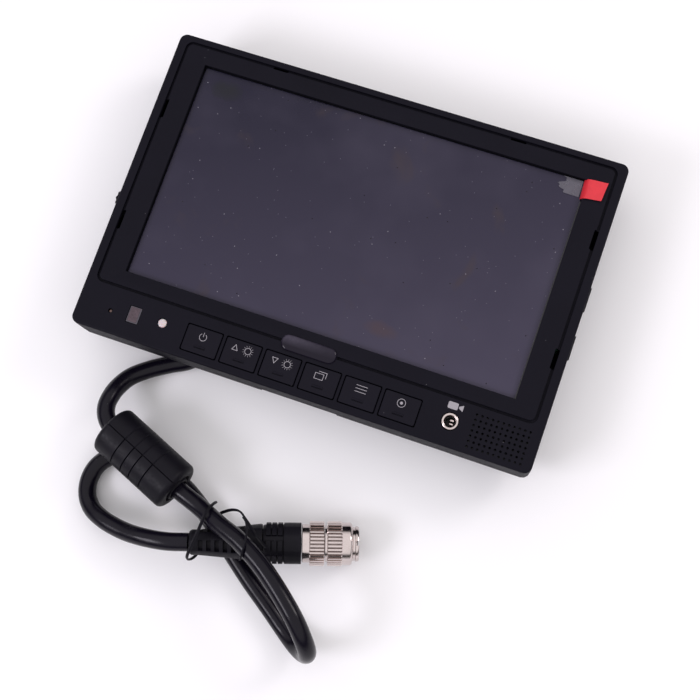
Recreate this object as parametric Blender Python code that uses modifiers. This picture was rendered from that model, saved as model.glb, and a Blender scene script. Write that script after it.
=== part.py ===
"""Seven-inch reversing monitor with a captive camera lead.

The monitor lies on its back on z = 0 with its screen up.
+X is to the right of the screen, +Y is to its top and +Z comes out of it.
Every size is in metres.
"""
import math

import bmesh
import bpy
from mathutils import Matrix, Vector, geometry

# Housing
BODY_W = 0.183
BODY_H = 0.123
FACE_Z = 0.029          # front face
RIM_Z = 0.011           # underside of the rim round the rear boss
PART_Z = 0.0164         # lower edge of the bezel
GAP = 0.0003
WALL = 0.002
FACE_WALL = 0.0018
CORNER_R = 0.003
HALF_W = BODY_W / 2
HALF_H = BODY_H / 2
INNER_W = HALF_W - WALL
INNER_H = HALF_H - WALL
SKIN_Z = FACE_Z - FACE_WALL     # inner side of the front wall
FLOOR_Z = RIM_Z + WALL          # inner side of the rear rim

# Rear boss
BOSS_X = 0.062
BOSS_Y = (-0.036, 0.044)
BOSS_MID_Y = (BOSS_Y[0] + BOSS_Y[1]) / 2
CHANNEL_HALF = 0.0155
CHANNEL_DEPTH = 0.0036

# Screen
SCREEN_Y = 0.0075
OPENING = (0.156, 0.088)
BEVEL_WIDTH = 0.0033
BEVEL_DEPTH = 0.0006
TRAY = (0.1606, 0.098)
TRAY_Z = (0.0206, 0.0263)
TRAY_WALL = 0.0005
PANEL = (0.1588, 0.0962)
BACKLIGHT_Z = (0.0213, 0.0243)
PANEL_Z = (0.0246, 0.0261)
FILM_Z = (0.0263, 0.02645)

# Sun-hood groove and its six tab slots
GROOVE_X = 0.0874
GROOVE_Y = (-0.0429, 0.0585)
GROOVE_W = 0.001
GROOVE_DEPTH = 0.0012
GROOVE_R = 0.0025
TOP_SLOT_X = 0.0485
TOP_SLOT_LENGTH = 0.0062
TOP_SLOT_W = 0.0013
SIDE_SLOT_Y = (0.0297, -0.0178)
SIDE_SLOT_LENGTH = 0.0078
SLOT_W = 0.0017

# Front keys
KEY_PITCH = 0.0158
KEY_FIRST_X = -0.04
KEY_Y = -0.0531
KEY_CAP = (0.014, 0.0102)
KEY_COUNT = 6
KEY_FLANGE = 0.0006
KEY_TOP_Z = FACE_Z + 0.00015

# Features of the control strip
PINHOLE = (-0.0778, -0.0529)
IR_WINDOW = (-0.0684, -0.0517)
IR_SIZE = (0.0047, 0.0064)
LENS = (-0.0569, -0.0512)
LENS_R = 0.0017
BAR = (-0.0004, -0.0431)
BAR_SIZE = (0.0217, 0.0061)
BAR_RISE = 0.001
JACK = (0.058, -0.052)
JACK_RING_R = 0.0032
JACK_BORE_R = 0.0019
GRILLE = (0.0768, -0.0526)
GRILLE_PITCH = 0.00204
GRILLE_COUNT = (11, 7)
GRILLE_HOLE_R = 0.00046

# Boards
MAIN_BOARD_Z = (0.0168, 0.0184)
KEY_BOARD_Z = (0.0196, 0.0208)
SWITCH_TOP_Z = 0.023
PLUNGER_TOP_Z = 0.0236
SIDE_BOARD_X = (0.0832, 0.0844)
BOARD_POST = (0.055, 0.033)

# Side controls
WHEEL = (-0.08735, -0.0091)
WHEEL_R = 0.0063
WHEEL_Z = (0.0223, 0.0249)
SIDE_KEY_Y = (0.0087, -0.0107)
SIDE_KEY_Z = 0.022
SIDE_KEY = (0.0092, 0.003)

# Case screws, by position from the middle of the body
CASE_SCREWS = (
    (-0.0854, 0.053), (0.0854, 0.053), (-0.0854, -0.036),
    (0.0854, -0.036), (-0.0844, -0.0545), (0.0504, -0.0574),
)
POST_R = 0.003

# Mounting plate with the 30 mm by 38 mm hole pattern of vehicle mounts
PLATE_HALF = 0.0247
PLATE_Z = (0.0002, 0.0020)
PLATE_HOLES = (0.019, 0.015)
PLATE_HOLE_R = 0.0018

# Lead
CABLE_R = 0.0035
GLAND = Vector((-0.043, BOSS_Y[0], 0.006))
GLAND_END_Y = -0.046
FERRITE_A = Vector((-0.0646, -0.0944, 0.0172))
FERRITE_B = Vector((-0.0319, -0.1078, 0.0172))
FERRITE_R = 0.01
FERRITE_BORE_R = CABLE_R + 0.0007
FERRITE_GROOVES = (0.69, 0.54, 0.42, 0.28)
PLUG_START = Vector((-0.0207, -0.125, 0.0157))
PLUG_END = Vector((0.0391, -0.1046, 0.0081))
PLUG_R = 0.0084
NUT_RING = 0.0028
NUT_RING_R = 0.0072
NUT_BAND = 0.0054
SLEEVE_GAP = 0.0014
SLEEVE_BAND = 0.0052
SLEEVE_R = 0.008
NOSE_LIP = 0.0026
NOSE_R = 0.0069
NOSE_BORE_R = 0.0058
PIN_RING_R = 0.0028
CABLE_POINTS = 76

# The cable's middle line, chosen by hand: out of the gland, round to the ferrite,
# over the plug's boot, down round the loop, back along the ground and up to the plug.
CABLE_ROUTE = (
    (-0.0430, -0.0465, 0.0060),
    (-0.0430, -0.0490, 0.0060),
    (-0.0437, -0.0529, 0.0057),
    (-0.0458, -0.0567, 0.0052),
    (-0.0490, -0.0595, 0.0048),
    (-0.0552, -0.0628, 0.0045),
    (-0.0621, -0.0674, 0.0056),
    (-0.0676, -0.0729, 0.0080),
    (-0.0698, -0.0779, 0.0106),
    (-0.0704, -0.0815, 0.0126),
    (-0.0702, -0.0866, 0.0149),
    (-0.0685, -0.0904, 0.0163),
    (-0.0659, -0.0932, 0.0170),
    (-0.0626, -0.0952, 0.0172),
    (-0.0598, -0.0964, 0.0172),
    (-0.0484, -0.1010, 0.0172),
    (-0.0356, -0.1063, 0.0172),
    (-0.0310, -0.1082, 0.0172),
    (-0.0215, -0.1113, 0.0189),
    (-0.0114, -0.1150, 0.0228),
    (-0.0015, -0.1182, 0.0259),
    (0.0083, -0.1230, 0.0278),
    (0.0162, -0.1282, 0.0291),
    (0.0230, -0.1335, 0.0295),
    (0.0284, -0.1383, 0.0290),
    (0.0328, -0.1434, 0.0263),
    (0.0351, -0.1475, 0.0204),
    (0.0340, -0.1492, 0.0132),
    (0.0297, -0.1483, 0.0073),
    (0.0233, -0.1446, 0.0040),
    (0.0151, -0.1389, 0.0036),
    (0.0046, -0.1318, 0.0036),
    (-0.0056, -0.1243, 0.0036),
    (-0.0143, -0.1179, 0.0036),
    (-0.0238, -0.1113, 0.0036),
    (-0.0335, -0.1058, 0.0036),
    (-0.0447, -0.1022, 0.0036),
    (-0.0567, -0.1015, 0.0036),
    (-0.0635, -0.1037, 0.0036),
    (-0.0683, -0.1090, 0.0036),
    (-0.0696, -0.1151, 0.0036),
    (-0.0682, -0.1208, 0.0043),
    (-0.0642, -0.1253, 0.0060),
    (-0.0581, -0.1279, 0.0085),
    (-0.0475, -0.1295, 0.0113),
    (-0.0380, -0.1291, 0.0144),
    (-0.0290, -0.1276, 0.0161),
    (-0.0211, -0.12515, 0.0158),
)

# The twist tie's middle line: over the cable, round the boot and back over the cable
TIE_R = 0.00065
TIE_ROUTE = (
    (-0.0156, -0.1076, 0.0195),
    (-0.0159, -0.1095, 0.0240),
    (-0.0164, -0.1121, 0.0264),
    (-0.0169, -0.1163, 0.0254),
    (-0.0175, -0.1207, 0.0238),
    (-0.0181, -0.1254, 0.0228),
    (-0.0189, -0.1301, 0.0198),
    (-0.0189, -0.1311, 0.0134),
    (-0.0181, -0.1290, 0.0092),
    (-0.0174, -0.1245, 0.0083),
    (-0.0174, -0.1196, 0.0096),
    (-0.0168, -0.1161, 0.0134),
    (-0.0140, -0.1121, 0.0166),
    (-0.0108, -0.1096, 0.0198),
    (-0.0075, -0.1082, 0.0230),
    (-0.0043, -0.1082, 0.0262),
    (-0.0016, -0.1099, 0.0286),
    (0.0007, -0.1131, 0.0302),
    (0.0017, -0.1167, 0.0312),
    (0.0021, -0.1202, 0.0313),
    (0.0021, -0.1227, 0.0304),
    (0.0018, -0.1246, 0.0284),
)


# ------------------------------------------------------------------ helpers

def clear_scene():
    """Remove every object that the file opened with."""
    for obj in list(bpy.data.objects):
        bpy.data.objects.remove(obj, do_unlink=True)


def new_collection(name):
    """Make a collection under the scene's own one."""
    collection = bpy.data.collections.new(name)
    bpy.context.scene.collection.children.link(collection)
    return collection


def material(name, colour, roughness, metallic=0.0, alpha=1.0):
    """Make a Principled material."""
    mat = bpy.data.materials.new(name)
    mat.use_nodes = True
    shader = mat.node_tree.nodes["Principled BSDF"]
    shader.inputs["Base Color"].default_value = (*colour, 1.0)
    shader.inputs["Roughness"].default_value = roughness
    shader.inputs["Metallic"].default_value = metallic
    shader.inputs["Alpha"].default_value = alpha
    return mat


def to_mesh(bm, name):
    """Turn a bmesh into a mesh."""
    mesh = bpy.data.meshes.new(name)
    bmesh.ops.recalc_face_normals(bm, faces=bm.faces)
    bm.to_mesh(mesh)
    bm.free()
    return mesh


def node(name, mesh, mat, origin=(0.0, 0.0, 0.0)):
    """Add a named piece whose mesh is drawn about its origin."""
    obj = bpy.data.objects.new(name, mesh)
    mesh.materials.clear()
    mesh.materials.append(mat)
    obj.location = origin
    PARTS.objects.link(obj)
    return obj


def guide(mesh):
    """Add a helper object for a Boolean."""
    obj = bpy.data.objects.new("tool", mesh)
    obj.hide_render = True
    obj.display_type = "WIRE"
    TOOLS.objects.link(obj)
    return obj


def boolean(target, mesh, operation):
    """Add one Boolean with a helper that shares the target's place."""
    tool = guide(mesh)
    tool.location = target.location
    modifier = target.modifiers.new(operation.lower(), "BOOLEAN")
    modifier.operation = operation
    modifier.solver = "EXACT"
    modifier.object = tool


def cut(target, *meshes):
    """Cut helper meshes out of a piece."""
    for mesh in meshes:
        boolean(target, mesh, "DIFFERENCE")


def join(target, *meshes):
    """Weld helper meshes onto a piece."""
    for mesh in meshes:
        boolean(target, mesh, "UNION")


def bake(obj):
    """Return the evaluated mesh of an object."""
    bpy.context.view_layer.update()
    graph = bpy.context.evaluated_depsgraph_get()
    return bpy.data.meshes.new_from_object(obj.evaluated_get(graph))


def block(low, high, corner=0.0, top=0.0, bottom=0.0, segments=3):
    """Box between two corners, with rounded upright edges and rounded rims."""
    bm = bmesh.new()
    bmesh.ops.create_cube(bm, size=1.0)
    low, high = Vector(low), Vector(high)
    bmesh.ops.scale(bm, vec=high - low, verts=bm.verts)
    bmesh.ops.translate(bm, vec=(low + high) / 2, verts=bm.verts)
    if corner > 0:
        upright = [e for e in bm.edges if abs(e.verts[0].co.z - e.verts[1].co.z) > (high - low).z / 2]
        bmesh.ops.bevel(bm, geom=upright, offset=corner, segments=segments, profile=0.5, affect="EDGES")
    for level, width in ((high.z, top), (low.z, bottom)):
        if width > 0:
            rim = [e for e in bm.edges if all(abs(v.co.z - level) < 1e-7 for v in e.verts)]
            bmesh.ops.bevel(bm, geom=rim, offset=width, segments=2, profile=0.5, affect="EDGES")
    return to_mesh(bm, "block")


def centred(middle, size, low_z, high_z, **rounding):
    """Box about a point of the plan view."""
    low = (middle[0] - size[0] / 2, middle[1] - size[1] / 2, low_z)
    high = (middle[0] + size[0] / 2, middle[1] + size[1] / 2, high_z)
    return block(low, high, **rounding)


def frustum(middle, low_size, high_size, low_z, high_z):
    """Box whose upper face has its own size."""
    bm = bmesh.new()
    bmesh.ops.create_cube(bm, size=1.0)
    for vert in bm.verts:
        size = high_size if vert.co.z > 0 else low_size
        level = high_z if vert.co.z > 0 else low_z
        vert.co = (middle[0] + vert.co.x * size[0], middle[1] + vert.co.y * size[1], level)
    return to_mesh(bm, "frustum")


def rods(places, radius, low_z, high_z, sides=16):
    """Upright cylinders at places of the plan view."""
    bm = bmesh.new()
    for x, y in places:
        middle = Matrix.Translation((x, y, (low_z + high_z) / 2))
        bmesh.ops.create_cone(bm, cap_ends=True, segments=sides, radius1=radius, radius2=radius,
                              depth=high_z - low_z, matrix=middle)
    return to_mesh(bm, "rods")


def rod_along_x(y, z, radius, low_x, high_x, sides=16):
    """Cylinder along X."""
    bm = bmesh.new()
    turn = Matrix.Translation(((low_x + high_x) / 2, y, z)) @ Matrix.Rotation(math.pi / 2, 4, "Y")
    bmesh.ops.create_cone(bm, cap_ends=True, segments=sides, radius1=radius, radius2=radius,
                          depth=high_x - low_x, matrix=turn)
    return to_mesh(bm, "rod")


def rod_along_y(x, z, radius, low_y, high_y, sides=20):
    """Cylinder along Y."""
    bm = bmesh.new()
    turn = Matrix.Translation((x, (low_y + high_y) / 2, z)) @ Matrix.Rotation(math.pi / 2, 4, "X")
    bmesh.ops.create_cone(bm, cap_ends=True, segments=sides, radius1=radius, radius2=radius,
                          depth=high_y - low_y, matrix=turn)
    return to_mesh(bm, "rod")


def prism(points, low_z, high_z):
    """Upright prism on one outline."""
    bm = bmesh.new()
    face = bm.faces.new([bm.verts.new((x, y, low_z)) for x, y in points])
    lifted = bmesh.ops.extrude_face_region(bm, geom=[face])["geom"]
    tops = [item for item in lifted if isinstance(item, bmesh.types.BMVert)]
    bmesh.ops.translate(bm, vec=(0, 0, high_z - low_z), verts=tops)
    return to_mesh(bm, "prism")


def knurled(radius, depth, teeth, low_z, high_z):
    """Prism with a toothed outline about the origin."""
    points = []
    for step in range(teeth * 4):
        reach = radius if step % 4 < 2 else radius - depth
        angle = 2 * math.pi * step / (teeth * 4)
        points.append((reach * math.cos(angle), reach * math.sin(angle)))
    return prism(points, low_z, high_z)


def turned(profile, steps=24, ring=False):
    """Solid turned about Z from (radius, height) points, listed down the outer side.

    A ring's profile runs on up its bore and closes on itself.
    """
    mesh = bpy.data.meshes.new("profile")
    count = len(profile)
    edges = [(i, i + 1) for i in range(count - 1)]
    if ring:
        edges.append((count - 1, 0))
    mesh.from_pydata([(r, 0.0, z) for r, z in profile], edges, [])
    lathe = guide(mesh)
    screw = lathe.modifiers.new("turn", "SCREW")
    screw.steps = steps
    screw.render_steps = steps
    screw.use_merge_vertices = True
    screw.merge_threshold = 0.00001
    result = bake(lathe)
    bpy.data.objects.remove(lathe, do_unlink=True)
    bm = bmesh.new()
    bm.from_mesh(result)
    bmesh.ops.remove_doubles(bm, verts=bm.verts, dist=0.00001)
    return to_mesh(bm, "turned")


def aim(start, end):
    """Matrix that takes the origin to start and +Z towards end."""
    turn = (end - start).to_track_quat("Z", "Y").to_matrix().to_4x4()
    return Matrix.Translation(start) @ turn


def lay(obj, matrix):
    """Move a piece, and the helpers of its Booleans, by a matrix."""
    for item in [obj] + [m.object for m in obj.modifiers if m.type == "BOOLEAN"]:
        item.matrix_world = matrix
    return obj


def smooth(points, per_span=12):
    """Fine points on a smooth curve through the given ones."""
    knots = [Vector(p) for p in points]
    chords = [b - a for a, b in zip(knots, knots[1:])]
    turns = [chords[0].normalized()]
    turns += [(a.normalized() + b.normalized()).normalized() for a, b in zip(chords, chords[1:])]
    turns.append(chords[-1].normalized())
    fine = [knots[0]]
    for i, chord in enumerate(chords):
        reach = chord.length / 3
        handle_a = knots[i] + turns[i] * reach
        handle_b = knots[i + 1] - turns[i + 1] * reach
        span = geometry.interpolate_bezier(knots[i], handle_a, handle_b, knots[i + 1], per_span + 1)
        fine += span[1:]
    return fine


def even(points, count):
    """The same line in a given number of evenly spaced points."""
    lengths = [0.0]
    for a, b in zip(points, points[1:]):
        lengths.append(lengths[-1] + (b - a).length)
    result, i = [], 0
    for step in range(count):
        goal = lengths[-1] * step / (count - 1)
        while i < len(points) - 2 and lengths[i + 1] < goal:
            i += 1
        share = (goal - lengths[i]) / (lengths[i + 1] - lengths[i])
        result.append(points[i].lerp(points[i + 1], share))
    return result


def tube(points, radius, resolution):
    """Mesh of a round wire along points, with its caps welded."""
    curve = bpy.data.curves.new("wire", "CURVE")
    curve.dimensions = "3D"
    curve.bevel_depth = radius
    curve.bevel_resolution = resolution
    curve.use_fill_caps = True
    spline = curve.splines.new("POLY")
    spline.points.add(len(points) - 1)
    for target, point in zip(spline.points, points):
        target.co = (*point, 1.0)
    wire = guide(curve)
    mesh = bake(wire)
    bpy.data.objects.remove(wire, do_unlink=True)
    bm = bmesh.new()
    bm.from_mesh(mesh)
    bmesh.ops.remove_doubles(bm, verts=bm.verts, dist=0.00001)
    return to_mesh(bm, "wire")


def ribbon(path, thickness, low_y, high_y):
    """Thin strip across Y that follows (x, z) points."""
    bm = bmesh.new()
    lower = [bm.verts.new((x, low_y, z)) for x, z in path]
    upper = [bm.verts.new((x, low_y, z + thickness)) for x, z in path]
    face = bm.faces.new(lower + upper[::-1])
    drawn = bmesh.ops.extrude_face_region(bm, geom=[face])["geom"]
    ends = [item for item in drawn if isinstance(item, bmesh.types.BMVert)]
    bmesh.ops.translate(bm, vec=(0, high_y - low_y, 0), verts=ends)
    return to_mesh(bm, "ribbon")


def settle(obj):
    """Fix a piece's shape, then shade it smooth with crisp edges."""
    if obj.modifiers:
        mesh = bake(obj)
        obj.modifiers.clear()
        obj.data = mesh
    obj.data.shade_smooth()
    obj.data.set_sharp_from_angle(angle=math.radians(35))


# ------------------------------------------------------------------ housing

def key_places():
    """Middle of each front key in the plan view."""
    return [(KEY_FIRST_X + KEY_PITCH * i, KEY_Y) for i in range(KEY_COUNT)]


def grille_places():
    """Middle of each loudspeaker hole."""
    columns, rows = GRILLE_COUNT
    return [(GRILLE[0] + (i - (columns - 1) / 2) * GRILLE_PITCH,
             GRILLE[1] + (j - (rows - 1) / 2) * GRILLE_PITCH)
            for i in range(columns) for j in range(rows)]


def groove_mesh():
    """Shallow ring round the screen surround."""
    middle = (0.0, sum(GROOVE_Y) / 2)
    size = (GROOVE_X * 2, GROOVE_Y[1] - GROOVE_Y[0])
    ring = []
    for grow, turn in ((GROOVE_W / 2, 1), (-GROOVE_W / 2, -1)):
        half = Vector((size[0] / 2 + grow, size[1] / 2 + grow))
        radius = GROOVE_R + grow
        loop = []
        for corner, (sx, sy) in enumerate(((1, 1), (-1, 1), (-1, -1), (1, -1))):
            for step in range(5):
                angle = math.pi / 2 * (corner + step / 4)
                loop.append((middle[0] + sx * (half.x - radius) + radius * math.cos(angle),
                             middle[1] + sy * (half.y - radius) + radius * math.sin(angle)))
        ring.append(loop[::turn])
    curve = bpy.data.curves.new("groove", "CURVE")
    curve.dimensions = "2D"
    curve.fill_mode = "BOTH"
    curve.extrude = GROOVE_DEPTH
    for loop in ring:
        spline = curve.splines.new("POLY")
        spline.points.add(len(loop) - 1)
        for target, point in zip(spline.points, loop):
            target.co = (*point, 0.0, 1.0)
        spline.use_cyclic_u = True
    flat = guide(curve)
    mesh = bake(flat)
    bpy.data.objects.remove(flat, do_unlink=True)
    bm = bmesh.new()
    bm.from_mesh(mesh)
    bmesh.ops.remove_doubles(bm, verts=bm.verts, dist=0.00001)
    bmesh.ops.translate(bm, vec=(0, 0, FACE_Z), verts=bm.verts)
    return to_mesh(bm, "groove")


def cut_screen_window(bezel):
    """The screen opening, its sloped surround, the hood groove and the tab slots."""
    middle = (0.0, SCREEN_Y)
    cut(bezel, centred(middle, OPENING, SKIN_Z - 0.001, FACE_Z + 0.001))
    wide = (OPENING[0] + 2 * BEVEL_WIDTH, OPENING[1] + 2 * BEVEL_WIDTH)
    cut(bezel, frustum(middle, OPENING, wide, FACE_Z - BEVEL_DEPTH, FACE_Z + 0.00001))
    cut(bezel, groove_mesh())
    inset = SLOT_W / 2 - GROOVE_W / 2
    for side in (-1, 1):
        place = (side * TOP_SLOT_X, GROOVE_Y[1] - (TOP_SLOT_W - GROOVE_W) / 2)
        cut(bezel, centred(place, (TOP_SLOT_LENGTH, TOP_SLOT_W), SKIN_Z - 0.001, FACE_Z + 0.001))
        for y in SIDE_SLOT_Y:
            place = (side * (GROOVE_X - inset), y)
            cut(bezel, centred(place, (SLOT_W, SIDE_SLOT_LENGTH), SKIN_Z - 0.001, FACE_Z + 0.001))


def cut_control_strip(bezel):
    """Openings for the keys, lenses, jack and loudspeaker below the screen."""
    below, above = SKIN_Z - 0.001, FACE_Z + 0.001
    opening = (KEY_CAP[0] + 2 * GAP, KEY_CAP[1] + 2 * GAP)
    for place in key_places():
        cut(bezel, centred(place, opening, below, above))
    pocket = (IR_SIZE[0] + 2 * GAP, IR_SIZE[1] + 2 * GAP)
    cut(bezel, centred(IR_WINDOW, (0.0039, 0.0056), below, above))
    cut(bezel, centred(IR_WINDOW, pocket, FACE_Z - 0.0009, above))
    bar = (BAR_SIZE[0] + 2 * GAP, BAR_SIZE[1] + 2 * GAP)
    cut(bezel, centred(BAR, (0.016, 0.002), below, above))
    cut(bezel, centred(BAR, bar, FACE_Z - 0.001, above, corner=bar[1] / 2 - 0.0001, segments=6))
    cut(bezel, rods([PINHOLE], 0.00085, below, above, 12))
    cut(bezel, rods([LENS], LENS_R + GAP, below, above, 20))
    cut(bezel, rods([JACK], JACK_RING_R + 0.00025, below, above, 24))
    cut(bezel, rods(grille_places(), GRILLE_HOLE_R, below, above, 6))


def cut_side_slots(bezel):
    """Slots for the thumbwheel on the left and the two keys on the right."""
    cut(bezel, block((-HALF_W - 0.001, WHEEL[1] - 0.0064, WHEEL_Z[0] - GAP),
                     (-INNER_W + 0.0005, WHEEL[1] + 0.0064, WHEEL_Z[1] + GAP)))
    reach = (SIDE_KEY[0] / 2 + GAP, SIDE_KEY[1] / 2 + GAP)
    for y in SIDE_KEY_Y:
        cut(bezel, block((INNER_W - 0.0005, y - reach[0], SIDE_KEY_Z - reach[1]),
                         (HALF_W + 0.001, y + reach[0], SIDE_KEY_Z + reach[1])))


def make_front_bezel(mat):
    """The front shell."""
    shell = block((-HALF_W, -HALF_H, PART_Z), (HALF_W, HALF_H, FACE_Z), CORNER_R, top=0.0008)
    bezel = node("front_bezel", shell, mat)
    cut(bezel, block((-INNER_W, -INNER_H, PART_Z - 0.001), (INNER_W, INNER_H, SKIN_Z), 0.0015))
    join(bezel, rods(CASE_SCREWS, POST_R, PART_Z, SKIN_Z + 0.0002, 12))
    cut(bezel, rods(CASE_SCREWS, 0.0013, PART_Z - 0.001, 0.0255, 8))
    cut_screen_window(bezel)
    cut_control_strip(bezel)
    cut_side_slots(bezel)


def cut_rear_face(cover):
    """The plate recess with its blind holes, the vents and the screw holes."""
    recess = (2 * (PLATE_HALF + GAP), 2 * (PLATE_HALF + GAP))
    cut(cover, centred((0, BOSS_MID_Y), recess, -0.001, PLATE_Z[1] + GAP))
    holes = [(sx * PLATE_HOLES[0], BOSS_MID_Y + sy * PLATE_HOLES[1]) for sx in (-1, 1) for sy in (-1, 1)]
    cut(cover, rods(holes, 0.0022, 0.001, 0.0055, 8))
    for side in (-1, 1):
        for row in range(6):
            place = (side * 0.042, BOSS_MID_Y + (row - 2.5) * 0.0072)
            cut(cover, centred(place, (0.018, 0.0024), -0.001, WALL + 0.001))
    cut(cover, rods(CASE_SCREWS, 0.0015, RIM_Z - 0.001, PART_Z + 0.001, 8))
    cut(cover, rods(CASE_SCREWS, 0.0029, RIM_Z - 0.001, FLOOR_Z, 12))


def board_posts():
    """Places of the four posts that carry the main board."""
    x, y = BOARD_POST
    return [(sx * x, BOSS_MID_Y + sy * y) for sx in (-1, 1) for sy in (-1, 1)]


def make_rear_cover(mat):
    """The rear shell with its boss, bracket channel and posts."""
    top = PART_Z - GAP
    rim = block((-HALF_W, -HALF_H, RIM_Z), (HALF_W, HALF_H, top), CORNER_R, bottom=0.0008)
    cover = node("rear_cover", rim, mat)
    join(cover, block((-BOSS_X, BOSS_Y[0], 0), (BOSS_X, BOSS_Y[1], RIM_Z + 0.001), 0.006, bottom=0.0012))
    cut(cover, block((-INNER_W, -INNER_H, FLOOR_Z), (INNER_W, INNER_H, top + 0.001), 0.0015))
    cut(cover, block((-BOSS_X + WALL, BOSS_Y[0] + WALL, WALL),
                     (BOSS_X - WALL, BOSS_Y[1] - WALL, FLOOR_Z + 0.001), 0.004))
    half = PLATE_HALF + 0.003
    join(cover, centred((0, BOSS_MID_Y), (2 * half, 2 * half), WALL - 0.0002, 0.0065))
    join(cover, rods(CASE_SCREWS, 0.0032, FLOOR_Z - 0.0002, top, 12))
    join(cover, rods(board_posts(), POST_R, WALL - 0.0002, MAIN_BOARD_Z[0] - GAP, 12))
    cut(cover, rods(board_posts(), 0.0011, 0.006, MAIN_BOARD_Z[0], 8))
    roof = CHANNEL_HALF + WALL
    join(cover, block((-roof, -INNER_H - 0.0002, FLOOR_Z - 0.0002), (roof, BOSS_Y[0] + WALL, top)))
    cut(cover, block((-CHANNEL_HALF, -HALF_H - 0.001, RIM_Z - 0.001),
                     (CHANNEL_HALF, BOSS_Y[0], RIM_Z + CHANNEL_DEPTH)))
    cut_rear_face(cover)
    cut(cover, block((0.0515, -HALF_H - 0.001, RIM_Z - 0.001), (0.0607, -HALF_H + 0.001, RIM_Z + 0.0012)))
    cut(cover, rod_along_y(GLAND.x, GLAND.z, 0.0042, BOSS_Y[0] - 0.001, BOSS_Y[0] + WALL + 0.001))


def make_mount_plate(mat):
    """Steel plate with four tapped holes in the boss."""
    plate = node("mount_plate", block((-PLATE_HALF, -PLATE_HALF, PLATE_Z[0]),
                                      (PLATE_HALF, PLATE_HALF, PLATE_Z[1]), 0.001), mat,
                 (0, BOSS_MID_Y, 0))
    holes = [(sx * PLATE_HOLES[0], sy * PLATE_HOLES[1]) for sx in (-1, 1) for sy in (-1, 1)]
    cut(plate, rods(holes, PLATE_HOLE_R, -0.001, PLATE_Z[1] + 0.001, 16))


# ------------------------------------------------------------------ screen

def make_screen(mats):
    """Tray, backlight, glass, gasket, film and pull tab."""
    middle = (0.0, SCREEN_Y)
    tray = node("lcd_tray", centred(middle, TRAY, *TRAY_Z), mats["steel"])
    inner = (TRAY[0] - 2 * TRAY_WALL, TRAY[1] - 2 * TRAY_WALL)
    cut(tray, centred(middle, inner, TRAY_Z[0] + TRAY_WALL, TRAY_Z[1] + 0.001))
    node("backlight_unit", centred(middle, PANEL, *BACKLIGHT_Z), mats["white_plastic"])
    node("lcd_panel", centred(middle, PANEL, *PANEL_Z), mats["screen"])
    gasket = node("screen_gasket", centred(middle, TRAY, 0.0266, 0.0269), mats["foam"])
    hole = (OPENING[0] + 0.0012, OPENING[1] + 0.0012)
    cut(gasket, centred(middle, hole, 0.026, 0.0275))
    film = (OPENING[0] - 0.0008, OPENING[1] - 0.0008)
    node("protective_film", centred(middle, film, *FILM_Z), mats["film"])
    tape = [(0.0666, FILM_Z[1] + 0.0001), (0.0766, FILM_Z[1] + 0.0001)]
    node("pull_tab_tape", ribbon(tape, 0.0001, 0.0446, 0.0511), mats["film"])
    tab = [(0.0768, 0.0268), (0.0773, 0.0286), (0.0784, 0.0293), (0.0800, 0.0294), (0.0856, 0.0294)]
    node("pull_tab", ribbon(tab, 0.00015, 0.0441, 0.0512), mats["red"])


# ------------------------------------------------------------------ controls

def make_keys(mat):
    """Six front keys that share one mesh, each with a flange and a stem below."""
    cap = centred((0, 0), KEY_CAP, SKIN_Z - 0.0006, KEY_TOP_Z, corner=0.0004, top=0.0003, segments=2)
    key = node("power_key", cap, mat)
    wide = (KEY_CAP[0] + 2 * KEY_FLANGE, KEY_CAP[1] + 2 * KEY_FLANGE)
    join(key, centred((0, 0), wide, SKIN_Z - 0.0013, SKIN_Z - GAP))
    join(key, rods([(0, 0)], 0.0017, PLUNGER_TOP_Z + 0.0006, SKIN_Z - 0.001))
    shared = bake(key)
    bpy.data.objects.remove(key, do_unlink=True)
    names = ("power_key", "up_key", "down_key", "channel_key", "menu_key", "select_key")
    for name, (x, y) in zip(names, key_places()):
        node(name, shared, mat, (x, y, 0))


def make_key_board(mat):
    """Board under the keys with its six switches soldered on."""
    low, high = KEY_BOARD_Z
    board = node("key_board", block((-0.073, -0.0588, low), (0.064, -0.0474, high)), mat)
    for place in key_places():
        join(board, centred(place, (0.006, 0.006), high - 0.0001, SWITCH_TOP_Z))
    join(board, rods(key_places(), 0.0016, SWITCH_TOP_Z - 0.0001, PLUNGER_TOP_Z))
    cut(board, rods([CASE_SCREWS[5]], POST_R + GAP, low - 0.001, high + 0.001))


def make_side_keys(mats):
    """Two side keys, and the small board that carries their switches."""
    names = ("upper_side_key", "lower_side_key")
    for name, y in zip(names, SIDE_KEY_Y):
        half = (SIDE_KEY[0] / 2, SIDE_KEY[1] / 2)
        cap = block((-0.0035, -half[0], -half[1]), (0, half[0], half[1]), top=0.0003)
        key = node(name, cap, mats["key"], (HALF_W + 0.0005, y, SIDE_KEY_Z))
        join(key, block((-0.0038, -half[0] - 0.0007, -half[1] - 0.0008),
                        (-0.0028, half[0] + 0.0007, half[1] + 0.0008)))
    back, front = SIDE_BOARD_X
    board = node("side_key_board", block((back, -0.0175, 0.0134), (front, 0.0155, 0.025)), mats["board"])
    for y in SIDE_KEY_Y:
        join(board, block((front - 0.0001, y - 0.003, SIDE_KEY_Z - 0.0025),
                          (0.0869, y + 0.003, SIDE_KEY_Z + 0.0025)))
        join(board, rod_along_x(y, SIDE_KEY_Z, 0.0012, 0.0868, 0.0876, 12))


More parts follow.
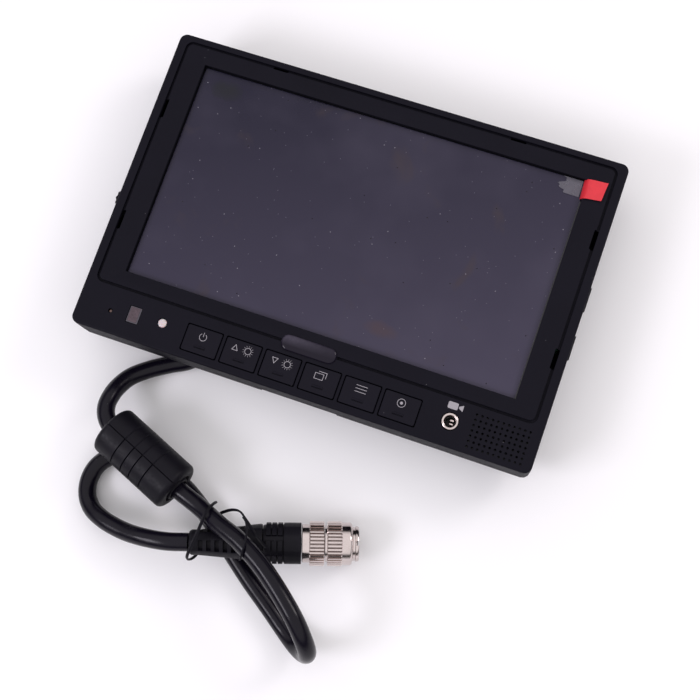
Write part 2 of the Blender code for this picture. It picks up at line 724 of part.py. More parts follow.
def make_volume_wheel(mats):
    """Thumbwheel on its shaft, and the potentiometer that it turns."""
    origin = (WHEEL[0], WHEEL[1], 0)
    wheel = node("volume_wheel", knurled(WHEEL_R, 0.0003, 18, *WHEEL_Z), mats["key"], origin)
    join(wheel, rods([(0, 0)], 0.0009, 0.0182, WHEEL_Z[0] + 0.0007, 12))
    pot = node("volume_pot", block((-0.0892, -0.0136, 0.0134), (-0.083, -0.0046, 0.0219)), mats["chip"])
    cut(pot, rods([WHEEL], 0.0012, 0.0178, 0.023, 12))


def make_lenses(mats):
    """Infrared window and receiver, indicator lens and lamp, key-light lens."""
    node("ir_window", centred(IR_WINDOW, IR_SIZE, FACE_Z - 0.0006, FACE_Z - 0.00005), mats["smoke"])
    node("ir_receiver", centred(IR_WINDOW, (0.0055, 0.006), KEY_BOARD_Z[1] + GAP, 0.0266), mats["chip"])
    low, rim = SKIN_Z - 0.0015, SKIN_Z - GAP
    profile = [(0, FACE_Z), (LENS_R * 0.8, FACE_Z - 0.0001), (LENS_R, FACE_Z - 0.0005), (LENS_R, rim),
               (0.0026, rim), (0.0026, low), (0, low)]
    node("indicator_lens", turned(profile, 16), mats["milk"], (*LENS, 0))
    led = [(0, 0.0253), (0.0009, 0.025), (0.0014, 0.0242), (0.0014, 0.0221), (0.0017, 0.0221),
           (0.0017, KEY_BOARD_Z[1] + GAP), (0, KEY_BOARD_Z[1] + GAP)]
    node("indicator_led", turned(led, 12), mats["milk"], (*LENS, 0))
    bar = centred(BAR, BAR_SIZE, FACE_Z - 0.0007, FACE_Z + BAR_RISE, corner=BAR_SIZE[1] / 2 - 0.0001,
                  top=0.0012, segments=6)
    node("key_light_lens", bar, mats["gloss"])


def make_av_jack(mats):
    """Jack socket: moulded body, metal ring in the front wall, contact spring."""
    top = SKIN_Z - GAP
    body = node("av_jack_body", centred(JACK, (0.0094, 0.0094), KEY_BOARD_Z[1] + GAP, top), mats["chip"])
    cut(body, rods([JACK], JACK_BORE_R, 0.0218, top + 0.001, 20))
    inner = 0.0022
    profile = [(JACK_RING_R - 0.0003, FACE_Z + 0.0004), (JACK_RING_R, FACE_Z + 0.0001),
               (JACK_RING_R, SKIN_Z), (inner, SKIN_Z), (inner, FACE_Z + 0.0001),
               (inner + 0.0003, FACE_Z + 0.0004)]
    node("av_jack_ring", turned(profile, 20, ring=True), mats["nickel"], (*JACK, 0))
    spring = centred((JACK[0] + 0.001, JACK[1]), (0.0006, 0.0013), 0.0221, 0.0266)
    node("av_jack_contact", spring, mats["nickel"])


def make_speaker(mat):
    """Small loudspeaker behind the grille."""
    speaker = node("speaker", centred(GRILLE, (0.0236, 0.0132), 0.0223, 0.0268, corner=0.002), mat)
    cut(speaker, centred(GRILLE, (0.0206, 0.0104), 0.0252, 0.028, corner=0.004))
    join(speaker, rods([GRILLE], 0.003, 0.025, 0.026, 16))


def make_main_board(mat):
    """Main board with its tall components on the side towards the boss."""
    low, high = MAIN_BOARD_Z
    board = node("main_board", block((-0.081, -0.038, low), (0.081, 0.056, high)), mat)
    parts = (
        ((-0.03, 0.02), (0.022, 0.022), 0.014), ((0.012, 0.024), (0.016, 0.016), 0.0145),
        ((0.04, 0.008), (0.012, 0.012), 0.011), ((-0.046, -0.006), (0.014, 0.009), 0.0115),
        ((-0.036, -0.029), (0.018, 0.006), 0.0125), ((0.03, -0.022), (0.02, 0.007), 0.0125),
    )
    for place, size, bottom in parts:
        join(board, centred(place, size, bottom, low + 0.0001))
    join(board, rods([(-0.006, 0.0), (-0.006, 0.01)], 0.0035, 0.009, low + 0.0001))
    cut(board, rods(board_posts(), 0.0014, low - 0.001, high + 0.001, 12))


# ------------------------------------------------------------------ screws

def screw_mesh(head_r, head_h, shank_r, length):
    """Pan-head screw about Z, its head's underside at 0 and its shank downwards."""
    profile = [(0, head_h), (head_r * 0.7, head_h), (head_r, head_h * 0.5), (head_r, 0),
               (shank_r, 0), (shank_r, -length + shank_r), (0, -length)]
    return turned(profile, 10)


def make_screws():
    """Six case screws from behind and four board screws from the front."""
    case = screw_mesh(0.0025, 0.0014, 0.001, 0.011)
    for number, (x, y) in enumerate(CASE_SCREWS, 1):
        screw = node(f"case_screw_{number}", case, STEEL, (x, y, FLOOR_Z - GAP))
        screw.rotation_euler = (math.pi, 0, 0)
    board = screw_mesh(0.0024, 0.0013, 0.0008, 0.009)
    for number, (x, y) in enumerate(board_posts(), 1):
        node(f"board_screw_{number}", board, STEEL, (x, y, MAIN_BOARD_Z[1] + GAP))


# ------------------------------------------------------------------ lead

def make_gland(mat):
    """Strain relief that holds the cable in the boss wall."""
    length = GLAND.y - GLAND_END_Y
    profile = [(0, length), (0.0039, length), (0.0041, length - 0.001), (0.0047, 0.001), (0.0047, GAP),
               (0.0039, GAP), (0.0039, -0.003), (0, -0.003)]
    gland = node("cable_gland", turned(profile, 20), mat)
    join(gland, block((-0.006, -0.0036, -0.0038), (0.006, 0.0048, -WALL - GAP)))
    lay(gland, aim(GLAND, Vector((GLAND.x, GLAND_END_Y, GLAND.z))))


def make_cable(mat):
    """The cable as one tube along its route."""
    line = even(smooth(CABLE_ROUTE), CABLE_POINTS)
    node("cable", tube(line, CABLE_R, 2), mat)


def ferrite_shell_profile(length):
    """Outer shell of the ferrite: rounded ends, four ring grooves, room for the core."""
    r, edge, bore, inside, end = FERRITE_R, 0.0016, FERRITE_BORE_R, FERRITE_R - 0.0016, 0.002
    profile = [(bore, length), (r - edge, length), (r - edge * 0.3, length - edge * 0.3), (r, length - edge)]
    for share in FERRITE_GROOVES:
        z = length * share
        profile += [(r, z + 0.00025), (r - 0.0004, z), (r, z - 0.00025)]
    profile += [(r, edge), (r - edge * 0.3, edge * 0.3), (r - edge, 0), (bore, 0), (bore, end),
                (inside, end), (inside, length - end), (bore, length - end)]
    return profile


def make_ferrite(mats):
    """Ferrite sleeve in two moulded half shells round the cable."""
    length = (FERRITE_B - FERRITE_A).length
    frame = aim(FERRITE_A, FERRITE_B)
    for name, side in (("ferrite_shell_left", -1), ("ferrite_shell_right", 1)):
        shell = node(name, turned(ferrite_shell_profile(length), 20, ring=True), mats["shell"])
        low_x, high_x = sorted((side * GAP / 2, -side * 0.02))
        cut(shell, block((low_x, -0.02, -0.01), (high_x, 0.02, length + 0.01)))
        lay(shell, frame)
    bore, outer = FERRITE_BORE_R, FERRITE_R - 0.0019
    core = [(bore, length - 0.0024), (outer, length - 0.0024), (outer, 0.0024), (bore, 0.0024)]
    lay(node("ferrite_core", turned(core, 20, ring=True), mats["ferrite"]), frame)


def make_boot(mat, frame, length):
    """Tapered boot with rows of slots on four sides."""
    profile = [(0, length), (0.0070, length), (0.0067, length * 0.55), (0.0056, 0.0004), (0.0052, 0), (0, 0)]
    boot = node("connector_boot", turned(profile, 20), mat)
    for row in range(5):
        z = 0.0035 + row * 0.0036
        for quarter in range(4):
            turn = Matrix.Rotation(math.pi / 2 * quarter, 4, "Z")
            slot = block((0.0046, -0.0026, z), (0.0085, 0.0026, z + 0.0017))
            slot.transform(turn)
            cut(boot, slot)
    lay(boot, frame)


def make_connector_body(mat, frame, start, length):
    """Moulded body with three rows of grip ridges and a smooth collar."""
    r, low, end = 0.0078, 0.0071, start + length
    profile = [(0, end), (r, end), (r, end - 0.0065)]
    for ridge in range(3):
        z = end - 0.0068 - ridge * 0.0022
        profile += [(low, z), (low, z - 0.0004), (r, z - 0.0007), (r, z - 0.0017)]
    profile += [(low, start + 0.0008), (0.0067, start), (0, start)]
    lay(node("connector_body", turned(profile, 20), mat), frame)


def make_connector_metal(mats, frame, start, end):
    """Clamp nut, sliding sleeve, nose shell, insert and pins of the plug."""
    nut_end = start + NUT_RING + NUT_BAND
    sleeve_start = nut_end + SLEEVE_GAP
    sleeve_length = end - NOSE_LIP - sleeve_start
    edge = 0.0003
    nut = [(NOSE_BORE_R, nut_end), (PLUG_R - edge, nut_end), (PLUG_R, nut_end - edge),
           (PLUG_R, start + NUT_RING + edge), (PLUG_R - edge, start + NUT_RING), (NUT_RING_R, start + NUT_RING),
           (NUT_RING_R, start), (NOSE_BORE_R, start)]
    lay(node("clamp_nut", turned(nut, 24, ring=True), mats["nickel"]), frame)
    bore = NOSE_R + GAP
    sleeve = [(bore, sleeve_length), (SLEEVE_R, sleeve_length), (SLEEVE_R, SLEEVE_BAND),
              (PLUG_R - edge, SLEEVE_BAND), (PLUG_R, SLEEVE_BAND - edge), (PLUG_R, edge),
              (PLUG_R - edge, 0), (bore, 0)]
    place = frame @ Matrix.Translation((0, 0, sleeve_start))
    lay(node("coupling_sleeve", turned(sleeve, 24, ring=True), mats["nickel"]), place)
    lip, back = SLEEVE_R - 0.0003, nut_end + GAP
    profile = [(NOSE_BORE_R, end), (lip - 0.0003, end), (lip, end - 0.0003), (lip, end - 0.0012),
               (NOSE_R, end - 0.002), (NOSE_R, back), (NOSE_BORE_R, back)]
    shell = node("nose_shell", turned(profile, 24, ring=True), mats["nickel"])
    cut(shell, block((-0.0009, NOSE_BORE_R - 0.0004, end - 0.0011), (0.0009, 0.009, end + 0.001)))
    lay(shell, frame)
    insert_end = end - 0.0045
    core = rods([(0, 0)], NOSE_BORE_R - GAP, back, insert_end, 24)
    lay(node("pin_insert", core, mats["insert"]), frame)
    for number in range(4):
        angle = math.pi / 4 + math.pi / 2 * number
        place = (PIN_RING_R * math.cos(angle), PIN_RING_R * math.sin(angle))
        pin = rods([place], 0.0005, insert_end + 0.0001, end - 0.0012, 10)
        lay(node(f"contact_pin_{number + 1}", pin, mats["gold"]), frame)


def make_connector(mats):
    """The plug on the end of the cable."""
    frame = aim(PLUG_START, PLUG_END)
    length = (PLUG_END - PLUG_START).length
    boot, body = length * 0.43, length * 0.225
    make_boot(mats["shell"], frame, boot)
    make_connector_body(mats["shell"], frame, boot + GAP, body)
    make_connector_metal(mats, frame, boot + body + 2 * GAP, length)


def make_twist_tie(mat):
    """Plastic-covered wire round the cable and the boot."""
    node("twist_tie", tube(even(smooth(TIE_ROUTE), 44), TIE_R, 1), mat)


# ------------------------------------------------------------------ assembly

clear_scene()
PARTS = new_collection("reversing_monitor")
TOOLS = new_collection("tools")
STEEL = material("screw_steel", (0.28, 0.28, 0.29), 0.35, 1.0)
NICKEL = material("nickel", (0.72, 0.70, 0.67), 0.25, 1.0)
PLASTIC = material("case_plastic", (0.018, 0.018, 0.020), 0.55)
MATERIALS = {
    "steel": material("sheet_steel", (0.55, 0.55, 0.56), 0.4, 1.0),
    "nickel": NICKEL,
    "key": material("key_plastic", (0.022, 0.022, 0.024), 0.5),
    "gloss": material("lens_black", (0.01, 0.01, 0.012), 0.08),
    "smoke": material("smoked_window", (0.10, 0.065, 0.06), 0.2),
    "milk": material("lens_milk", (0.75, 0.73, 0.70), 0.3),
    "screen": material("screen_glass", (0.03, 0.029, 0.035), 0.12),
    "film": material("clear_film", (0.5, 0.5, 0.55), 0.2, 0.0, 0.3),
    "red": material("tab_red", (0.75, 0.05, 0.05), 0.35),
    "foam": material("foam", (0.03, 0.03, 0.03), 0.9),
    "white_plastic": material("white_plastic", (0.8, 0.8, 0.78), 0.5),
    "board": material("board_green", (0.02, 0.12, 0.05), 0.5),
    "chip": material("component_black", (0.03, 0.03, 0.032), 0.5),
    "shell": material("moulded_black", (0.02, 0.02, 0.022), 0.5),
    "ferrite": material("ferrite_grey", (0.08, 0.08, 0.085), 0.6),
    "insert": material("insert_black", (0.025, 0.025, 0.027), 0.45),
    "gold": material("pin_gold", (0.83, 0.62, 0.25), 0.25, 1.0),
    "jacket": material("cable_jacket", (0.015, 0.015, 0.017), 0.35),
}

make_front_bezel(PLASTIC)
make_rear_cover(PLASTIC)
make_mount_plate(MATERIALS["steel"])
make_screen(MATERIALS)
make_keys(MATERIALS["key"])
make_key_board(MATERIALS["board"])
make_side_keys(MATERIALS)
make_volume_wheel(MATERIALS)
make_lenses(MATERIALS)
make_av_jack(MATERIALS)
make_speaker(MATERIALS["chip"])
make_main_board(MATERIALS["board"])
make_screws()
make_gland(MATERIALS["shell"])
make_cable(MATERIALS["jacket"])
make_ferrite(MATERIALS)
make_connector(MATERIALS)
make_twist_tie(MATERIALS["shell"])

for piece in PARTS.objects:
    settle(piece)
for tool in list(TOOLS.objects):
    bpy.data.objects.remove(tool, do_unlink=True)
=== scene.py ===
"""Detailed look of the seven-inch reversing monitor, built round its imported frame.

Lengths are in metres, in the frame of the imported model.
"""
import random
from math import atan2, cos, hypot, pi, radians, sin, sqrt

import bmesh
import bpy
from mathutils import Matrix, Vector


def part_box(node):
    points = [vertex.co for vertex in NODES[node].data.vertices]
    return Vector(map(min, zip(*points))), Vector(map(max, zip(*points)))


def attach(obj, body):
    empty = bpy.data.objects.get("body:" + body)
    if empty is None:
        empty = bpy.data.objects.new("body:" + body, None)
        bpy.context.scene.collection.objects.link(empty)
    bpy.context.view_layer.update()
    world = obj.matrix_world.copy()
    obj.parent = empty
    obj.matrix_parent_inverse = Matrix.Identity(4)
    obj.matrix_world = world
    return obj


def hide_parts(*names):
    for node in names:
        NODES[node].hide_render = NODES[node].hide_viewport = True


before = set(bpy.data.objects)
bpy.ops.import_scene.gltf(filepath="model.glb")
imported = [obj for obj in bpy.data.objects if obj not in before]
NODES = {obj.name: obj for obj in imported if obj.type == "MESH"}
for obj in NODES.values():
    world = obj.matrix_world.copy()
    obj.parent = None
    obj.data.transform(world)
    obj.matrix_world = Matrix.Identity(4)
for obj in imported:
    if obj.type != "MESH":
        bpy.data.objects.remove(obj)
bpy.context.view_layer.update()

MM = 0.001

# Sizes shared with the frame
HALF_W, HALF_H = 0.0915, 0.0615
FACE_Z, SKIN_Z, PART_Z = 0.029, 0.0272, 0.0164
WALL, CORNER_R, TOP_EDGE = 0.002, 0.003, 0.0009
SCREEN_Y = 0.0075
OPENING = (0.156, 0.088)
SLOPE_W, SLOPE_D = 0.0033, 0.0006
GROOVE_X, GROOVE_Y = 0.0874, (-0.0429, 0.0585)
GROOVE_W, GROOVE_D, GROOVE_R = 0.001, 0.0012, 0.0025
SLOT_W, TOP_SLOT_W = 0.0017, 0.0013
TOP_SLOT_X, SIDE_SLOT_Y = 0.0485, (0.0297, -0.0178)
WHEEL_Y, SIDE_KEY_Y = -0.0091, (0.0087, -0.0107)
KEY_NAMES = ("power_key", "up_key", "down_key", "channel_key", "menu_key", "select_key")
KEY_PITCH, KEY_FIRST_X, KEY_Y = 0.0158, -0.04, -0.0531
KEY_CAP, BAR_HALF = (0.014, 0.0102), 0.0022
KEY_TOP_Z = FACE_Z + 0.00015
PINHOLE, IR_WINDOW, LENS = (-0.0778, -0.0529), (-0.0684, -0.0517), (-0.0569, -0.0512)
IR_SIZE, LENS_R = (0.0047, 0.0064), 0.0017
BAR, BAR_SIZE = (-0.0004, -0.0431), (0.0217, 0.0061)
JACK, GRILLE, GRILLE_PITCH = (0.058, -0.052), (0.0768, -0.0526), 0.00204
GAP = 0.0003

# Lead
CABLE_R, CABLE_LENGTH = 0.0035, 0.380
FERRITE_A, FERRITE_B = Vector((-0.0646, -0.0944, 0.0172)), Vector((-0.0319, -0.1078, 0.0172))
PLUG_START, PLUG_END = Vector((-0.0207, -0.125, 0.0157)), Vector((0.0391, -0.1046, 0.0081))
PLUG_L = (PLUG_END - PLUG_START).length
BOOT_L, BODY_L = PLUG_L * 0.43, PLUG_L * 0.225
METAL_Z = BOOT_L + BODY_L + 0.0006
NUT_RING, NUT_RING_R, NUT_BAND = 0.0028, 0.0072, 0.0056
SLEEVE_Z = METAL_Z + 0.00945
SLEEVE_BAND, SLEEVE_END = 0.0055, PLUG_L - 0.0026
KNURL_R, SLEEVE_R, KNURL_TEETH, KNURL_D = 0.0084, 0.008, 39, 0.0006
KNURL_STEPS = (0.006, 0.117, 0.25, 0.383, 0.494, 0.75)
CABLE_ROUTE = (
    (-0.043, -0.0465, 0.006), (-0.043, -0.049, 0.006), (-0.0437, -0.0529, 0.0057),
    (-0.0458, -0.0567, 0.0052), (-0.049, -0.0595, 0.0048), (-0.0552, -0.0628, 0.0045),
    (-0.0621, -0.0674, 0.0056), (-0.0676, -0.0729, 0.008), (-0.0698, -0.0779, 0.0106),
    (-0.0704, -0.0815, 0.0126), (-0.0702, -0.0866, 0.0149), (-0.0685, -0.0904, 0.0163),
    (-0.0659, -0.0932, 0.017), (-0.0626, -0.0952, 0.0172), (-0.0598, -0.0964, 0.0172),
    (-0.0484, -0.101, 0.0172), (-0.0356, -0.1063, 0.0172), (-0.031, -0.1082, 0.0172),
    (-0.0215, -0.1113, 0.0189), (-0.0114, -0.115, 0.0228), (-0.0015, -0.1182, 0.0259),
    (0.0083, -0.123, 0.0278), (0.0162, -0.1282, 0.0291), (0.023, -0.1335, 0.0295),
    (0.0284, -0.1383, 0.029), (0.0328, -0.1434, 0.0263), (0.0351, -0.1475, 0.0204),
    (0.034, -0.1492, 0.0132), (0.0297, -0.1483, 0.0073), (0.0233, -0.1446, 0.004),
    (0.0151, -0.1389, 0.0036), (0.0046, -0.1318, 0.0036), (-0.0056, -0.1243, 0.0036),
    (-0.0143, -0.1179, 0.0036), (-0.0238, -0.1113, 0.0036), (-0.0335, -0.1058, 0.0036),
    (-0.0447, -0.1022, 0.0036), (-0.0567, -0.1015, 0.0036), (-0.0635, -0.1037, 0.0036),
    (-0.0683, -0.109, 0.0036), (-0.0696, -0.1151, 0.0036), (-0.0682, -0.1208, 0.0043),
    (-0.0642, -0.1253, 0.006), (-0.0581, -0.1279, 0.0085), (-0.0475, -0.1295, 0.0113),
    (-0.038, -0.1291, 0.0144), (-0.029, -0.1276, 0.0161), (-0.0211, -0.12515, 0.0158),
)
TIE_ROUTE = (
    (-0.0156, -0.1076, 0.0195), (-0.0159, -0.1095, 0.024), (-0.0164, -0.1121, 0.0264),
    (-0.0169, -0.1163, 0.0254), (-0.0175, -0.1207, 0.0238), (-0.0181, -0.1254, 0.0228),
    (-0.0189, -0.1301, 0.0198), (-0.0189, -0.1311, 0.0134), (-0.0181, -0.129, 0.0092),
    (-0.0174, -0.1245, 0.0083), (-0.0174, -0.1196, 0.0096), (-0.0168, -0.1161, 0.0134),
    (-0.014, -0.1121, 0.0166), (-0.0108, -0.1096, 0.0198), (-0.0075, -0.1082, 0.023),
    (-0.0043, -0.1082, 0.0262), (-0.0016, -0.1099, 0.0286), (0.0007, -0.1131, 0.0302),
    (0.0017, -0.1167, 0.0312), (0.0021, -0.1202, 0.0313), (0.0021, -0.1227, 0.0304),
    (0.0018, -0.1246, 0.0284),
)
TIE_TAIL = (
    (-0.0024, -0.1094, 0.0283), (0.0004, -0.1114, 0.0281), (0.0036, -0.1142, 0.0252),
    (0.0062, -0.1162, 0.0218), (0.008, -0.1174, 0.02),
)
# Outline of the tie's strip and wire, in millimetres
TIE_SECTION = (
    (0.62, 0), (0.58, 0.1), (0.34, 0.15), (0.24, 0.3), (0, 0.4), (-0.24, 0.3), (-0.34, 0.15),
    (-0.58, 0.1), (-0.62, 0), (-0.58, -0.1), (-0.34, -0.15), (-0.24, -0.3), (0, -0.4), (0.24, -0.3),
    (0.34, -0.15), (0.58, -0.1),
)


# ------------------------------------------------------------------ camera

def make_camera():
    """Camera that looks down on the monitor from its lower right."""
    data = bpy.data.cameras.new("camera")
    data.lens = 66.34
    data.sensor_width = 36.0
    data.clip_start, data.clip_end = 0.01, 20.0
    camera = bpy.data.objects.new("camera", data)
    right = Vector((0.93993, 0.33026, -0.08641)).normalized()
    back = Vector((0.14338, -0.15223, 0.97789)).normalized()
    up = back.cross(right).normalized()
    turn = Matrix((right, up, back)).transposed().to_4x4()
    camera.matrix_world = Matrix.Translation((0.08322, -0.11162, 0.49883)) @ turn
    bpy.context.scene.collection.objects.link(camera)
    bpy.context.scene.camera = camera
    return right, up, back


VIEW_RIGHT, VIEW_UP, VIEW_BACK = make_camera()


# ------------------------------------------------------------------ materials

class Surface:
    """A Principled material with helpers for procedural detail in object space."""

    def __init__(self, name, colour, roughness, metallic=0.0, **sockets):
        self.mat = bpy.data.materials.new(name)
        self.mat.use_nodes = True
        self.tree = self.mat.node_tree
        self.shader = self.tree.nodes["Principled BSDF"]
        self.colour = colour
        self.shader.inputs["Base Color"].default_value = (*colour, 1.0)
        self.shader.inputs["Roughness"].default_value = roughness
        self.shader.inputs["Metallic"].default_value = metallic
        for key, value in sockets.items():
            self.shader.inputs[key.replace("_", " ")].default_value = value
        self.place = self.tree.nodes.new("ShaderNodeTexCoord").outputs["Object"]

    def new(self, kind, inputs=(), **settings):
        item = self.tree.nodes.new(kind)
        for key, value in settings.items():
            setattr(item, key, value)
        for key, value in dict(inputs).items():
            item.inputs[key].default_value = value
        return item

    def link(self, out, socket):
        self.tree.links.new(out, socket)

    def noise(self, scale, detail=3.0, roughness=0.55, stretch=None, distortion=0.0):
        item = self.new("ShaderNodeTexNoise", {"Scale": scale, "Detail": detail, "Roughness": roughness,
                                               "Distortion": distortion})
        source = self.place
        if stretch:
            mapping = self.new("ShaderNodeMapping", {"Scale": stretch})
            self.link(self.place, mapping.inputs["Vector"])
            source = mapping.outputs["Vector"]
        self.link(source, item.inputs["Vector"])
        return item.outputs["Fac"]

    def remap(self, value, low, high, to_low, to_high):
        item = self.new("ShaderNodeMapRange", {"From Min": low, "From Max": high, "To Min": to_low,
                                               "To Max": to_high})
        self.link(value, item.inputs["Value"])
        return item.outputs["Result"]

    def axes(self):
        """X and Y of the place on the surface."""
        item = self.new("ShaderNodeSeparateXYZ")
        self.link(self.place, item.inputs["Vector"])
        return item.outputs["X"], item.outputs["Y"]

    def math(self, operation, first, second):
        item = self.new("ShaderNodeMath", operation=operation)
        for socket, value in zip(item.inputs, (first, second)):
            if isinstance(value, (int, float)):
                socket.default_value = value
            else:
                self.link(value, socket)
        return item.outputs["Value"]

    def feed(self, socket, below):
        """Link what now feeds one of the shader's sockets into a node laid over it."""
        links = self.shader.inputs[socket].links
        if links:
            self.link(links[0].from_socket, below)

    def mix_colour(self, factor, colour):
        """Lay a colour over the base where factor is 1."""
        item = self.new("ShaderNodeMix", {"A": (*self.colour, 1.0), "B": (*colour, 1.0)}, data_type="RGBA")
        self.feed("Base Color", item.inputs["A"])
        self.link(factor, item.inputs["Factor"])
        self.link(item.outputs["Result"], self.shader.inputs["Base Color"])
        return self

    def mottle(self, scale, amount, darker=0.7, lighter=1.35, **noise):
        """Slow drift of the base between a darker and a lighter tone."""
        value = self.noise(scale, **noise)
        self.mix_colour(self.remap(value, 0.5, 0.75, 0.0, amount), [c * lighter for c in self.colour])
        self.mix_colour(self.remap(value, 0.5, 0.25, 0.0, amount), [c * darker for c in self.colour])
        return self

    def specks(self, scale, size, share, colour, amount=0.8, flat=False):
        """Scattered dust specks: a few cells of a fine pattern, each with one dot."""
        cells = self.new("ShaderNodeTexVoronoi", {"Scale": scale}, voronoi_dimensions="2D" if flat else "3D")
        self.link(self.place, cells.inputs["Vector"])
        dot = self.math("LESS_THAN", cells.outputs["Distance"], size)
        split = self.new("ShaderNodeSeparateColor")
        self.link(cells.outputs["Color"], split.inputs["Color"])
        chosen = self.math("GREATER_THAN", split.outputs["Red"], 1.0 - share)
        strength = self.math("MULTIPLY", self.math("MULTIPLY", dot, chosen), amount)
        return self.mix_colour(strength, colour)

    def rough(self, scale, low, high, **noise):
        """Roughness that drifts between two values."""
        value = self.noise(scale, **noise)
        self.link(self.remap(value, 0.3, 0.7, low, high), self.shader.inputs["Roughness"])
        return self

    def bump(self, scale, strength, distance, **noise):
        """Add a layer of fine relief."""
        item = self.new("ShaderNodeBump", {"Strength": strength, "Distance": distance})
        self.link(self.noise(scale, **noise), item.inputs["Height"])
        self.feed("Normal", item.inputs["Normal"])
        self.link(item.outputs["Normal"], self.shader.inputs["Normal"])
        return self


DUST = (0.30, 0.29, 0.31)


